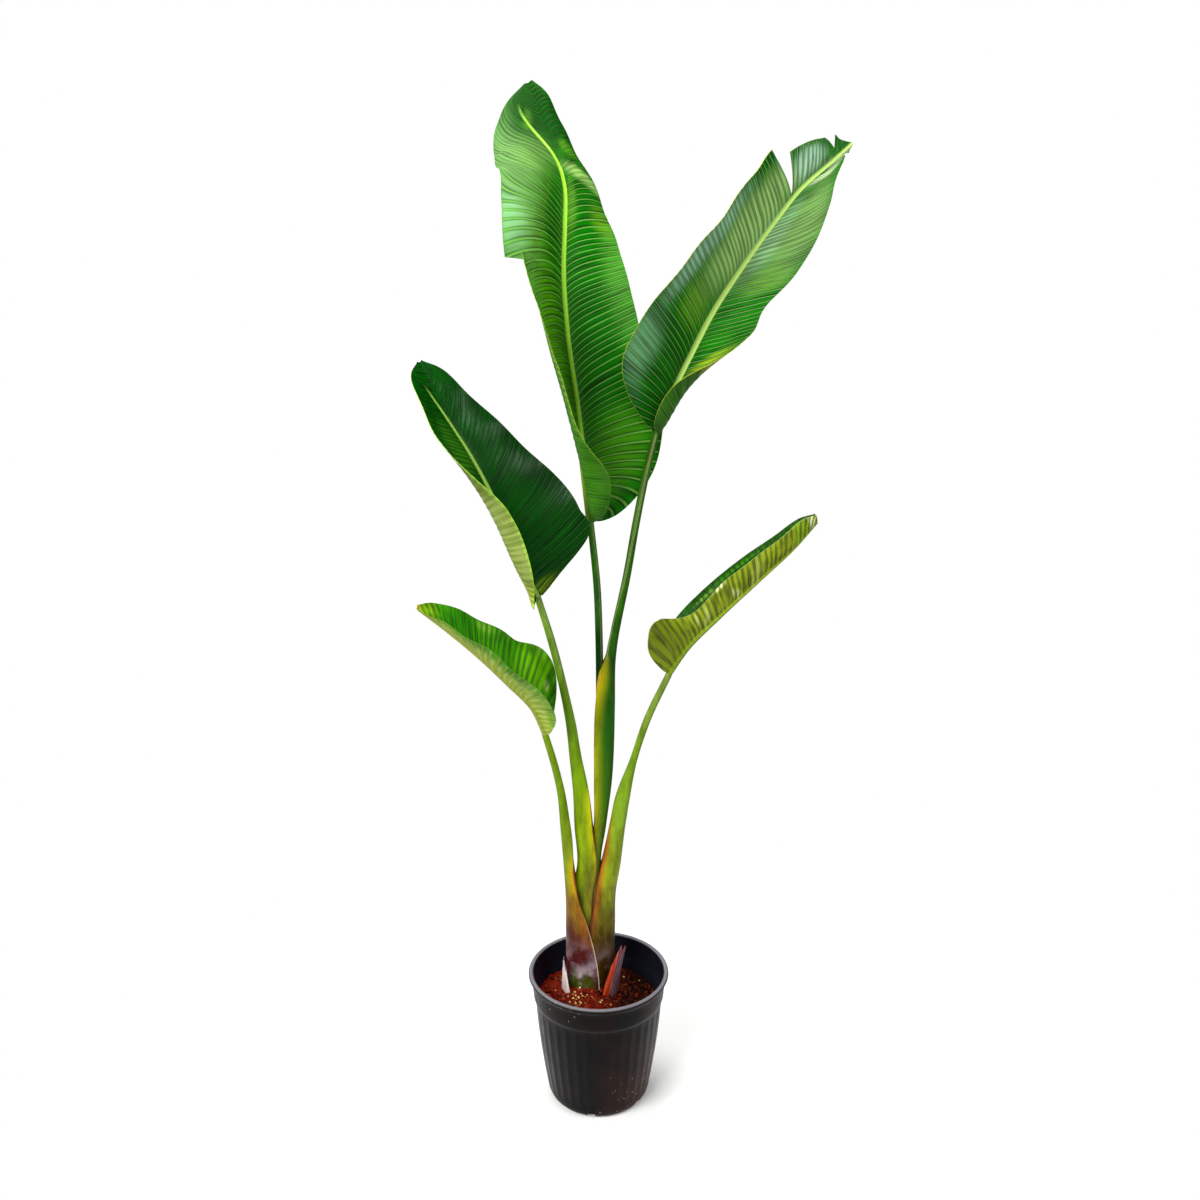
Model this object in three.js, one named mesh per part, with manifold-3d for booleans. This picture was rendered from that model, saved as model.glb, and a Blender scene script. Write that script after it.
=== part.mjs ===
// Potted giant bird of paradise: five leaves on stalks whose sheaths clasp each other in a fan,
// two old sheaths, the soil and a ribbed nursery pot. Millimetres, +Z up.
// The origin is the centre of the pot's flat underside, and -Y is the plant's front.
import * as THREE from "three";
import { mergeVertices } from "three/addons/utils/BufferGeometryUtils.js";
import Module from "manifold-3d";

const wasm = await Module();
wasm.setup();

// Driving sizes
const GAP = 0.3;
const POT_HEIGHT = 226;
const RIM_RADIUS = 120;
const MOUTH_RADIUS = 112;
const FOOT_RADIUS = 88;
const WALL = 2.4;
const FLOOR_TOP = 3;
const POT_SIDES = 72;
const RIB_HEIGHT = 1.6;
const RIB_BOTTOM = 22;
const RIB_TOP = 176;
const SLOT_COUNT = 6;
const SLOT_SIZE = [20, 16, 13];
const SOIL_AT_WALL = 170;
const SOIL_RISE = 22;
const SOIL_SIDES = 40;
const NEST = { x: -14.5, y: 20, along: 43.3, across: 26.8, bottom: 150 };
const CHIP_COUNT = 13;
const CHIP = { from: 58, to: 94, length: 9, width: 5, height: 6 };
const GRANULE_COUNT = 6;
const GRANULE_RADIUS = 2.6;
const BLADE_THICKNESS = 1.1;
const PLEAT_HEIGHT = 0.9;

// Shares of a blade's length: stations crowd by this towards both ends, and a tear opens over this.
const CROWDING = 0.07;
const TEAR_LENGTH = 0.12;

// Columns of a half blade: shares of its rib's half width, then of the sheet outside the rib.
const RIB_COLUMNS = [0.6, 1];
const COLUMNS = [0.13, 0.33, 0.55, 0.78, 1];
const ALL_COLUMNS = RIB_COLUMNS.length + COLUMNS.length;
const KEEL_FLANK = 0.72;
const OUTER_POINTS = 9;
const INNER_POINTS = 7;
const STALK_STATIONS = 19;
const OLD_SHEATH_STATIONS = 4;
const SEAT_CLEARANCE = 0.4;
const STALK_TOP = 5.4;

const COLOURS = {
  pot: 0x24221f,
  soil: 0x4a1d12,
  stalk: 0x6f8a2c,
  blade: 0x2f6b1e,
  dry: 0x8a4a2a,
};

// Each leaf: its midrib from the blade's base to the tip and the way its upper face looks; for each
// half the lean of its veins, its width, its rise from the midrib and its further curl towards the
// margin, with one list of width and curl for each piece that a tear leaves; and its tears. Angles
// in degrees.
const LEAVES = {
  leaf_1: {
    midrib: [
      [-10, 40, 994], [-18, 36, 1060], [-33, 28, 1185], [-48, 26, 1290], [-55, 32, 1378],
      [-53, 46, 1446], [-51, 64, 1505], [-62, 88, 1556], [-86, 125, 1613], [-112, 172, 1684],
    ],
    facing: [[0, 0.6, -0.8, 0], [0.45, 0.5, -0.85, 0], [0.7, 0.1, -1, 0.1], [1, -0.5, -0.8, 0.4]],
    stations: 40,
    keel: [[0, 10], [0.5, 6], [1, 1.4]],
    rib: [[0, 5.4], [0.5, 4], [1, 0.8]],
    left: {
      sweep: [[0, -20], [0.12, 4], [0.45, 14], [0.62, 12], [0.8, 14], [1, 24]],
      width: [
        [[0, 6.5], [0.03, 47], [0.1, 86], [0.25, 104], [0.5, 111]],
        [[0.5, 110], [0.58, 112], [0.75, 106], [0.9, 71], [0.97, 36], [1, 8]],
      ],
      rise: [[0, 64], [0.1, 50], [0.2, 38], [0.35, 28], [0.52, 36], [0.65, 36], [0.85, 20], [1, 14]],
      curl: [
        [[0, 160], [0.08, 128], [0.15, 54], [0.3, 44], [0.4, 28], [0.52, -6]],
        [[0.44, -60], [0.65, -72], [0.85, -40], [1, -20]],
      ],
      power: 0.8,
      wave: [1.6, 6, 0.4],
    },
    right: {
      sweep: [[0, -30], [0.05, -4], [0.12, 14], [0.5, 22], [1, 30]],
      width: [[
        [0, 6.5], [0.03, 50], [0.07, 98], [0.13, 128], [0.25, 118], [0.42, 103], [0.56, 82], [0.64, 68],
        [0.72, 46], [0.85, 33], [0.94, 28], [1, 8],
      ]],
      rise: [[0, 36], [0.5, 34], [0.64, 22], [0.8, 10], [1, 0]],
      curl: [[[0, 10], [0.45, 0], [0.62, -60], [0.8, -90], [1, -70]]],
      power: 0.9,
      wave: [2.4, 7, 2.1],
    },
    tears: [{ side: "left", at: 0.5, column: 4, gap: 1 }],
  },
  leaf_2: {
    midrib: [
      [90, 4, 1136], [112, -6, 1195], [134, -12, 1241], [174, -18, 1318], [212, -20, 1375],
      [258, -20, 1439], [293, -16, 1483], [340, -6, 1524], [370, 6, 1551],
    ],
    facing: [[0, 0.1, -1, 0], [0.5, 0.1, -1, 0], [1, -0.1, -1, 0.2]],
    stations: 36,
    keel: [[0, 9], [0.5, 5.5], [1, 1.3]],
    rib: [[0, 5], [0.5, 3.8], [1, 0.8]],
    left: {
      sweep: [[0, 6], [0.12, 22], [0.3, 22], [0.5, 20], [1, 30]],
      width: [
        [[0, 6], [0.03, 46], [0.08, 96], [0.16, 113], [0.3, 106], [0.45, 97], [0.6, 87], [0.76, 77]],
        [[0.76, 50], [0.84, 43], [0.93, 26], [1, 2]],
      ],
      rise: [[0, 26], [0.5, 38], [1, 30]],
      curl: [[[0, 0], [0.5, 10], [0.8, 0]], [[0.6, 0], [1, -20]]],
      power: 1.5,
      wave: [1.8, 6, 1.0],
    },
    right: {
      sweep: [[0, -20], [0.12, 0], [0.3, 14], [0.5, 20], [1, 30]],
      width: [[
        [0, 6], [0.04, 40], [0.14, 80], [0.25, 92], [0.32, 82], [0.41, 65], [0.55, 73], [0.75, 53],
        [0.9, 18], [1, 2],
      ]],
      rise: [[0, 62], [0.2, 52], [0.35, 40], [0.6, 38], [1, 30]],
      curl: [[[0, 150], [0.12, 120], [0.24, 60], [0.34, 8], [1, -10]]],
      power: 1.2,
      wave: [2, 6, 2.6],
    },
    tears: [{ side: "left", at: 0.76, column: 3, gap: 34 }],
  },
  leaf_3: {
    midrib: [
      [-97, 20, 874], [-121, 0, 933], [-152, -15, 1015], [-195, -25, 1107], [-238, -25, 1181],
      [-260, -20, 1225], [-268, -15, 1240],
    ],
    facing: [[0, 0.25, -0.95, 0.2], [0.5, 0.3, -0.95, 0.2], [1, 0.2, -1, 0.2]],
    stations: 28,
    keel: [[0, 9], [0.5, 5.5], [1, 1.3]],
    rib: [[0, 5], [0.5, 3.6], [1, 0.8]],
    left: {
      sweep: [[0, -10], [0.08, -2], [0.2, 8], [0.5, 20], [1, 30]],
      width: [[
        [0, 6], [0.02, 46], [0.06, 52], [0.15, 76], [0.35, 97], [0.6, 88], [0.85, 42], [0.95, 20], [1, 4],
      ]],
      rise: [[0, 42], [0.3, 40], [0.6, 42], [1, 20]],
      curl: [[[0, 30], [0.1, 84], [0.35, 96], [0.55, 40], [0.85, 34], [1, 0]]],
      power: 1.0,
      wave: [1.6, 4, 0.6],
    },
    right: {
      sweep: [[0, 0], [0.15, 10], [0.5, 20], [1, 30]],
      width: [[[0, 6], [0.05, 46], [0.12, 114], [0.22, 116], [0.5, 76], [0.75, 45], [0.92, 24], [1, 4]]],
      rise: [[0, 18], [0.5, 14], [1, 20]],
      curl: [[[0, 10], [0.5, -10], [1, -20]]],
      power: 1.6,
      wave: [2, 5, 1.4],
    },
    tears: [],
  },
  leaf_4: {
    midrib: [
      [-84, 0, 651], [-103, -13, 698], [-142, -29, 745], [-187, -42, 793], [-233, -50, 834], [-278, -55, 870],
    ],
    facing: [[0, 0.8, -0.13, 0.6], [0.5, 0.72, -0.13, 0.68], [1, 0.5, -0.1, 0.85]],
    stations: 22,
    keel: [[0, 8], [0.5, 5], [1, 1.2]],
    rib: [[0, 4.6], [0.5, 3.2], [1, 0.8]],
    left: {
      sweep: [[0, 0], [0.2, 8], [0.6, 20], [1, 30]],
      width: [[[0, 5.6], [0.05, 26], [0.2, 76], [0.45, 80], [0.75, 52], [0.93, 22], [1, 5]]],
      rise: [[0, 34], [0.5, 32], [1, 26]],
      curl: [[[0, 14], [0.5, 12], [1, 0]]],
      power: 1.5,
      wave: [2.5, 4, 0.2],
    },
    right: {
      sweep: [[0, 0], [0.2, 8], [0.6, 20], [1, 30]],
      width: [[[0, 5.6], [0.05, 32], [0.18, 88], [0.42, 76], [0.7, 57], [0.9, 34], [1, 8]]],
      rise: [[0, 30], [0.5, 22], [1, 18]],
      curl: [[[0, 14], [0.5, 6], [1, 0]]],
      power: 1.5,
      wave: [3, 4, 1.7],
    },
    tears: [],
  },
  leaf_5: {
    midrib: [
      [112, 10, 751], [142, 0, 798], [187, -10, 847], [251, -18, 910], [304, -22, 961], [337, -25, 1000],
    ],
    facing: [[0, -0.78, -0.13, 0.6], [0.5, -0.72, -0.13, 0.66], [1, -0.7, -0.1, 0.66]],
    stations: 24,
    keel: [[0, 8], [0.5, 5], [1, 1.2]],
    rib: [[0, 4.6], [0.5, 3.2], [1, 0.8]],
    left: {
      sweep: [[0, -20], [0.2, 4], [0.6, 20], [1, 30]],
      width: [[[0, 5.6], [0.05, 36], [0.14, 46], [0.26, 50], [0.5, 49], [0.75, 40], [0.93, 28], [1, 14]]],
      rise: [[0, 36], [0.3, 40], [1, 30]],
      curl: [[[0, 0], [0.25, 20], [0.5, 30], [1, 20]]],
      power: 1.5,
      wave: [2.5, 4, 0.9],
    },
    right: {
      sweep: [[0, 10], [0.08, 28], [0.2, 18], [0.6, 20], [1, 30]],
      width: [[
        [0, 5.6], [0.02, 54], [0.06, 92], [0.12, 88], [0.22, 50], [0.5, 43], [0.75, 36], [0.93, 28], [1, 14],
      ]],
      rise: [[0, 62], [0.3, 64], [0.6, 58], [1, 50]],
      curl: [[[0, -16], [0.12, 0], [0.25, 40], [0.5, 44], [1, 30]]],
      power: 1.5,
      wave: [2.5, 4, 2.2],
    },
    tears: [],
  },
};

// Each stalk row: centre x, y, z, half depth along the keel, half width across it, the reach of
// the front and back margins from the keel in degrees, wall at the keel, share of solid petiole,
// and the keel's bearing in degrees.
const STALKS = {
  leaf_1: [
    [-12, 20, 150.3, 8, 8, 160, 160, 3, 1, 127],
    [-10, 20, 300, 7, 7, 160, 160, 3, 1, 127],
    [-10, 20, 410, 6, 6, 160, 160, 3, 1, 127],
    [-2, 22, 480, 6, 6, 160, 160, 3, 1, 127],
    [1, 26, 560, 6.2, 6.2, 160, 160, 3, 1, 127],
    [2, 32, 696, 6.2, 6.2, 160, 160, 3, 1, 127],
    [1, 38, 798, 6.2, 6.2, 160, 160, 3, 1, 127],
    [-2, 40, 882, 6, 6, 160, 160, 3, 1, 127],
  ],
  leaf_2: [
    [-9, 20, 150.3, 28.5, 16.2, 112, 112, 5, 0, 0],
    [-9, 20, 200, 28.5, 16.2, 112, 112, 5, 0, 0],
    [-4, 20, 300, 25, 11.6, 112, 112, 4.5, 0, 0],
    [-6, 20, 360, 19, 10.6, 115, 115, 4, 0, 0],
    [-8, 20, 410, 12.5, 9.6, 125, 125, 3, 0, 0],
    [1, 22, 480, 12, 10.4, 140, 140, 3, 0, 0],
    [6, 25.5, 560, 16.8, 12, 145, 145, 4, 0, 0],
    [9.5, 31.5, 690, 18, 12.5, 144, 144, 4, 0, 0],
    [12, 34.5, 750, 16, 12.4, 124, 124, 4, 0, 0],
    [18.5, 35, 775, 11, 10.5, 112, 112, 3.6, 0.3, 4],
    [24, 33, 800, 8.2, 8, 130, 130, 3, 0.8, 10],
    [32, 28, 840, 7, 7, 160, 160, 3, 1, 30],
    [44, 21, 900, 6.4, 6.4, 160, 160, 3, 1, 60],
    [60, 11, 998, 6, 6, 160, 160, 3, 1, 90],
    [75, 6, 1077, 5.8, 5.8, 160, 160, 3, 1, 95],
  ],
  leaf_3: [
    [-16, 20, 150.3, 33.5, 19.2, 112, 112, 5, 0, 180],
    [-16, 20, 200, 33.5, 19.2, 112, 112, 5, 0, 180],
    [-21, 20, 300, 28.5, 14, 110, 110, 4.5, 0, 180],
    [-19, 20, 360, 26, 13.4, 112, 112, 4, 0, 180],
    [-14.6, 20, 410, 22, 14.2, 124, 124, 4, 0, 180],
    [-22, 21, 480, 19, 14.4, 130, 130, 4, 0, 180],
    [-28.5, 20.5, 540, 14.5, 11, 144, 144, 4, 0.1, 180],
    [-38, 22, 600, 10.5, 7.8, 156, 156, 3, 0.7, 178],
    [-46, 23, 660, 8.4, 7, 160, 160, 3, 1, 165],
    [-54, 24, 702, 7.4, 6.6, 160, 160, 3, 1, 150],
    [-77, 22, 802, 6.4, 6.2, 160, 160, 3, 1, 120],
  ],
  leaf_4: [
    [-14.5, 20, 150.3, 42.5, 26, 112, 112, 5, 0, 180],
    [-14.5, 20, 200, 42.5, 26, 112, 112, 5, 0, 180],
    [-26, 20, 300, 31, 21.5, 106, 106, 4.7, 0, 180],
    [-37, 18, 360, 20, 17.5, 95, 95, 4.2, 0, 180],
    [-45.5, 15, 410, 14, 12, 103, 103, 4, 0, 180],
    [-54.5, 9, 480, 9.6, 9, 140, 140, 4, 0.6, 180],
    [-63, 8, 548, 6.6, 6.6, 160, 160, 3, 1, 180],
    [-75, 4, 603, 6, 6, 160, 160, 3, 1, 180],
  ],
  leaf_5: [
    [-10, 20, 150.3, 37.5, 22.4, 112, 112, 5, 0, 0],
    [-10, 20, 200, 37.5, 22.4, 112, 112, 5, 0, 0],
    [0, 20, 300, 29, 18.5, 120, 120, 4.6, 0, 0],
    [6.5, 20, 360, 23.5, 16.4, 119, 119, 4, 0, 0],
    [19.5, 19.5, 410, 18, 14.6, 146, 146, 3.6, 0, 0],
    [31.5, 20, 480, 14, 11, 156, 156, 3.4, 0.1, 0],
    [39, 19, 525, 13, 9.5, 156, 156, 3.4, 0.3, 0],
    [58, 17, 597, 6.4, 6.4, 160, 160, 3, 1, 0],
    [80, 15, 668, 6, 6, 160, 160, 3, 1, 0],
  ],
};

// A row of the two old, cut-off sheaths has the same meaning as a stalk's.
const OLD_SHEATHS = {
  old_sheath_left: [
    [-51, 2, 152, 9, 14, 60, 60, 2.4, 0, 215],
    [-53, 1, 190, 9, 14, 60, 60, 2.4, 0, 215],
    [-55, 0, 214, 7, 9, 55, 55, 2, 0, 215],
    [-57, 1, 236, 4, 3, 50, 50, 1.2, 0, 215],
  ],
  old_sheath_right: [
    [15, 4, 152, 16, 20, 70, 70, 3, 0, 318],
    [17, 2, 190, 16, 20, 70, 70, 3, 0, 318],
    [25, 0, 226, 14, 15, 72, 72, 2.6, 0, 322],
    [40, 1, 268, 6, 5, 60, 60, 1.6, 0, 326],
  ],
};

const POT_INSIDE = [[109.8, 186], [106.9, 181], [101.4, 120], [87.6, RIB_BOTTOM], [82, 8], [77, FLOOR_TOP]];
const POT_PROFILE = [
  [0, 0], [76, 0], [84, 3], [FOOT_RADIUS, 11], [90, RIB_BOTTOM], [104, 120], [109, RIB_TOP],
  [MOUTH_RADIUS, 183], [114, 211], [119, 214], [RIM_RADIUS, 221], [117, POT_HEIGHT], [113.2, 224.6],
  ...POT_INSIDE, [0, FLOOR_TOP],
];

function smooth(keys, t) {
  // A smooth curve through keys of [place, value, ...]; more values make a vector.
  const size = keys[0].length - 1;
  const last = keys.length - 1;
  let k = 0;
  while (k < last - 1 && t > keys[k + 1][0]) k += 1;
  const [from, to] = [keys[k], keys[k + 1]];
  const span = to[0] - from[0];
  const u = Math.min(1, Math.max(0, (t - from[0]) / span));
  const values = [];
  for (let c = 1; c <= size; c += 1) {
    const rise = (to[c] - from[c]) / span;
    const slopeAt = (i) => {
      if (i <= 0 || i >= last) return rise;
      const before = (keys[i][c] - keys[i - 1][c]) / (keys[i][0] - keys[i - 1][0]);
      const after = (keys[i + 1][c] - keys[i][c]) / (keys[i + 1][0] - keys[i][0]);
      const share = (keys[i][0] - keys[i - 1][0]) / (keys[i + 1][0] - keys[i - 1][0]);
      return before * (1 - share) + after * share;
    };
    const start = slopeAt(k) * span;
    const end = slopeAt(k + 1) * span;
    const change = to[c] - from[c];
    const bend = 3 * change - 2 * start - end;
    const twist = start + end - 2 * change;
    values.push(from[c] + u * start + u * u * bend + u * u * u * twist);
  }
  return size === 1 ? values[0] : values;
}

function alongPath(points) {
  // Keys of a path by its share of the length along straight lines between the points.
  const keys = [[0, ...points[0]]];
  let length = 0;
  for (let i = 1; i < points.length; i += 1) {
    length += Math.hypot(...points[i].slice(0, 3).map((value, c) => value - points[i - 1][c]));
    keys.push([length, ...points[i]]);
  }
  return keys.map(([place, ...rest]) => [place / length, ...rest]);
}

function frameAt(path, facing, t) {
  // The point on a midrib, its direction, the upper face's normal and the way across to the right.
  const point = new THREE.Vector3(...smooth(path, t));
  const before = new THREE.Vector3(...smooth(path, Math.max(0, t - 0.01)));
  const after = new THREE.Vector3(...smooth(path, Math.min(1, t + 0.01)));
  const along = after.sub(before).normalize();
  const normal = new THREE.Vector3(...smooth(facing, t));
  normal.addScaledVector(along, -normal.dot(along)).normalize();
  const across = new THREE.Vector3().crossVectors(along, normal);
  return { point, along, normal, across };
}

const radians = THREE.MathUtils.degToRad;

function bladePoint(leaf, path, side, piece, t, column) {
  // A point on the blade's middle sheet and its share of the half's width. Columns count outwards.
  const { point, along, normal, across } = frameAt(path, leaf.facing, t);
  if (column === 0) return { point, normal, along, share: 0 };
  const half = leaf[side];
  const sign = side === "right" ? 1 : -1;
  const rib = smooth(leaf.rib, t);
  const width = Math.max(smooth(half.width[piece], t), rib + 1);
  const rise = radians(smooth(half.rise, t));
  const curl = radians(smooth(half.curl[piece], t));
  const tear = leaf.tears.find((entry) => entry.side === side);
  const start = tear ? COLUMNS[tear.column - RIB_COLUMNS.length - 1] : 0;
  const share = column > RIB_COLUMNS.length ? COLUMNS[column - RIB_COLUMNS.length - 1] : 0;
  const reach = share ? rib + (width - rib) * share : RIB_COLUMNS[column - 1] * rib;
  const steps = 14;
  let out = 0;
  let up = 0;
  let angle = 0;
  for (let i = 0; i < steps; i += 1) {
    const s = ((i + 0.5) / steps) * reach;
    const v = Math.max(0, ((s - rib) / (width - rib) - start) / (1 - start));
    angle = s < rib ? (rise * s) / rib : rise + curl * v ** half.power;
    out += (Math.cos(angle) * reach) / steps;
    up += (Math.sin(angle) * reach) / steps;
  }
  const lean = Math.tan(radians(smooth(half.sweep, t))) * Math.max(0, reach - rib);
  const [height, count, phase] = half.wave;
  const ends = Math.sqrt(Math.sin(Math.PI * Math.min(1, Math.max(0, t))));
  const ripple = height * share * share * ends * Math.sin(2 * Math.PI * count * t + phase);
  const sheetNormal = normal.clone().multiplyScalar(Math.cos(angle));
  sheetNormal.addScaledVector(across, -sign * Math.sin(angle));
  point.addScaledVector(across, sign * out).addScaledVector(normal, up);
  point.addScaledVector(along, lean).addScaledVector(sheetNormal, ripple);
  return { point, normal: sheetNormal, along, share };
}

function bladeGeometry(leaf) {
  // Top and under sheets share one set of triangles, and walls close them along every edge.
  const path = alongPath(leaf.midrib);
  const count = leaf.stations;
  const places = [];
  for (let i = 0; i <= count; i += 1) {
    places.push(i / count - CROWDING * Math.sin((2 * Math.PI * i) / count));
  }
  const tears = leaf.tears.map((tear) => ({
    ...tear,
    station: places.findIndex((place) => place >= tear.at),
  }));
  const top = [];
  const under = [];
  const ids = new Map();
  const vertex = (i, side, column, piece) => {
    const torn = tears.filter((tear) => tear.side === side && column > tear.column);
    const split = torn.some((tear) => tear.station === i);
    const key = column === 0 ? `${i}` : `${i} ${side} ${column} ${split ? piece : ""}`;
    if (ids.has(key)) return ids.get(key);
    const t = places[i];
    const { point, normal, along, share } = bladePoint(leaf, path, side, piece, t, column);
    for (const [order, tear] of torn.entries()) {
      const distance = Math.abs(t - places[tear.station]);
      const open = (tear.gap / 2) * Math.max(0, 1 - distance / TEAR_LENGTH) * share;
      point.addScaledVector(along, order < piece ? open : -open);
    }
    const inside = share > 0 && i > 0 && i < count;
    const pleat = i % 2 === 0 ? PLEAT_HEIGHT : -PLEAT_HEIGHT;
    const lift = inside ? pleat * Math.sin(Math.PI * Math.min(0.85, share)) : 0;
    const keel = smooth(leaf.keel, t);
    const flank = column < RIB_COLUMNS.length ? keel * KEEL_FLANK : BLADE_THICKNESS / 2;
    const depth = column === 0 ? keel : flank;
    ids.set(key, top.length);
    top.push(point.clone().addScaledVector(normal, lift + BLADE_THICKNESS / 2));
    under.push(point.clone().addScaledVector(normal, lift - depth));
    return ids.get(key);
  };
  const triangles = [];
  for (const side of ["left", "right"]) {
    const own = tears.filter((tear) => tear.side === side).map((tear) => tear.station);
    for (let i = 0; i < count; i += 1) {
      const piece = own.filter((station) => station <= i).length;
      for (let column = 0; column < ALL_COLUMNS; column += 1) {
        const [a, b] = [column, column + 1].map((place) => vertex(i, side, place, piece));
        const [d, c] = [column, column + 1].map((place) => vertex(i + 1, side, place, piece));
        if (side === "right") triangles.push([a, b, c], [a, c, d]);
        else triangles.push([a, c, b], [a, d, c]);
      }
    }
  }
  return sheetSolid(top, under, triangles);
}

function sheetSolid(top, under, triangles) {
  // Two like sheets as one closed body: an edge that only one triangle uses is an outer edge.
  const faces = [];
  const edges = new Map();
  const offset = top.length;
  for (const [a, b, c] of triangles) {
    faces.push([a, b, c], [offset + a, offset + c, offset + b]);
    for (const [from, to] of [[a, b], [b, c], [c, a]]) {
      const back = `${to} ${from}`;
      if (edges.has(back)) edges.delete(back);
      else edges.set(`${from} ${to}`, [from, to]);
    }
  }
  for (const [from, to] of edges.values()) {
    faces.push([from, offset + from, to], [to, offset + from, offset + to]);
  }
  return facesGeometry([...top, ...under], faces);
}

function facesGeometry(points, faces) {
  const geometry = new THREE.BufferGeometry();
  const numbers = points.flatMap((point) => point.toArray());
  geometry.setAttribute("position", new THREE.Float32BufferAttribute(numbers, 3));
  geometry.setIndex(faces.flat());
  return geometry;
}

function stalkSection([, , , deep, wide, frontReach, backReach, keelWall, petiole], grow = 0) {
  // The outline of a sheath or petiole: an outer arc about the keel and an inner arc back.
  // Grown by a clearance all round, it cuts the piece's seat.
  const marginWall = 1.3 + 2 * grow;
  const outline = [];
  const margin = grow * 5;
  const reachAt = (share) => radians(-backReach - margin + (frontReach + backReach + 2 * margin) * share);
  for (let i = 0; i < OUTER_POINTS; i += 1) {
    const angle = reachAt(i / (OUTER_POINTS - 1));
    outline.push([(deep + grow) * Math.cos(angle), (wide + grow) * Math.sin(angle)]);
  }
  for (let i = INNER_POINTS - 1; i >= 0; i -= 1) {
    const share = i / (INNER_POINTS - 1);
    const angle = reachAt(share);
    const wall = marginWall + (keelWall + 2 * grow - marginWall) * Math.sin(Math.PI * share) - grow;
    const sideWall = Math.min(wall, marginWall + 0.4);
    const sheath = [(deep - wall) * Math.cos(angle), (wide - sideWall) * Math.sin(angle)];
    const groove = [-0.7 * deep + 0.25 * deep * Math.cos(angle), 0.2 * wide * Math.sin(angle)];
    outline.push(sheath.map((value, c) => value * (1 - petiole) + groove[c] * petiole));
  }
  return outline;
}

function stalkGeometry(rows, stations, end, grow = 0) {
  // Sections square to the stalk's path, joined from one to the next and capped.
  const path = alongPath(rows);
  const points = [];
  const faces = [];
  const size = OUTER_POINTS + INNER_POINTS;
  for (let i = 0; i <= stations; i += 1) {
    const t = i / stations;
    const row = smooth(path, t);
    const before = smooth(path, Math.max(0, t - 0.01));
    const after = smooth(path, Math.min(1, t + 0.01));
    const centre = new THREE.Vector3(...row.slice(0, 3));
    const along = new THREE.Vector3(...after.slice(0, 3)).sub(new THREE.Vector3(...before.slice(0, 3)));
    along.normalize();
    const bearing = radians(row[9]);
    const keel = new THREE.Vector3(Math.cos(bearing), Math.sin(bearing), 0);
    if (i === 0) {
      along.set(0, 0, 1);
      centre.addScaledVector(along, -grow);
    }
    if (i === stations) centre.addScaledVector(along, grow);
    if (i === stations && end) {
      along.copy(end.along);
      keel.copy(end.normal).negate();
    }
    keel.addScaledVector(along, -keel.dot(along)).normalize();
    const across = new THREE.Vector3().crossVectors(along, keel);
    for (const [x, y] of stalkSection(row, grow)) {
      points.push(centre.clone().addScaledVector(keel, x).addScaledVector(across, y));
    }
  }
  for (let i = 0; i < stations; i += 1) {
    for (let j = 0; j < size; j += 1) {
      const [a, b] = [i * size + j, i * size + ((j + 1) % size)];
      faces.push([a, b, b + size], [a, b + size, a + size]);
    }
  }
  const capAt = (row, first, turn) => {
    const outline = stalkSection(row, grow).map(([x, y]) => new THREE.Vector2(x, y));
    for (const cap of THREE.ShapeUtils.triangulateShape(outline, [])) {
      const [a, b, c] = cap.map((index) => first + index);
      faces.push(turn ? [a, c, b] : [a, b, c]);
    }
  };
  capAt(smooth(path, 0), 0, true);
  capAt(smooth(path, 1), stations * size, false);
  return facesGeometry(points, faces);
}

const WELD_DISTANCE = 0.001;

function solidOf(geometry) {
  // A closed mesh as a solid to cut and join, without the faces that shrink to a line.
  const bare = new THREE.BufferGeometry();
  bare.setAttribute("position", geometry.getAttribute("position"));
  bare.setIndex(geometry.getIndex());
  const merged = mergeVertices(bare, WELD_DISTANCE);
  const index = merged.getIndex().array;
  const triVerts = [];
  for (let i = 0; i < index.length; i += 3) {
    const [a, b, c] = index.slice(i, i + 3);
    if (a !== b && b !== c && a !== c) triVerts.push(a, b, c);
  }
  return new wasm.Manifold(new wasm.Mesh({
    numProp: 3,
    vertProperties: merged.getAttribute("position").array,
    triVerts: new Uint32Array(triVerts),
  }));
}

function geometryOf(solid) {
  const mesh = solid.getMesh();
  const geometry = new THREE.BufferGeometry();
  geometry.setAttribute("position", new THREE.Float32BufferAttribute(mesh.vertProperties, 3));
  geometry.setIndex(new THREE.Uint32BufferAttribute(mesh.triVerts, 1));
  return geometry;
}

function random(seed) {
  // A small repeatable source of numbers from 0 to 1.
  let state = seed;
  return () => {
    state = (state * 16807) % 2147483647;
    return state / 2147483647;
  };
}

function potGeometry() {
  // A turned shell with upright ribs on its wall and slots round its foot.
  const profile = POT_PROFILE.map(([r, z]) => new THREE.Vector2(r, z));
  const lathe = new THREE.LatheGeometry(profile, POT_SIDES).rotateX(Math.PI / 2);
  const position = lathe.getAttribute("position");
  for (let i = 0; i < position.count; i += 1) {
    const [x, y, z] = [position.getX(i), position.getY(i), position.getZ(i)];
    const side = Math.round((Math.atan2(y, x) / (2 * Math.PI)) * POT_SIDES);
    const onRibs = z > RIB_BOTTOM - 1 && z < RIB_TOP + 1 && side % 2 === 1;
    if (!onRibs || Math.hypot(x, y) < potInnerRadius(z) + WALL / 2) continue;
    const scale = 1 - RIB_HEIGHT / Math.hypot(x, y);
    position.setXY(i, x * scale, y * scale);
  }
  let pot = solidOf(lathe);
  for (let i = 0; i < SLOT_COUNT; i += 1) {
    const slot = new THREE.BoxGeometry(...SLOT_SIZE);
    slot.translate(FOOT_RADIUS - 2, 0, 4).rotateZ(((i + 0.35) / SLOT_COUNT) * 2 * Math.PI);
    pot = pot.subtract(solidOf(slot));
  }
  return geometryOf(pot);
}

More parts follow.
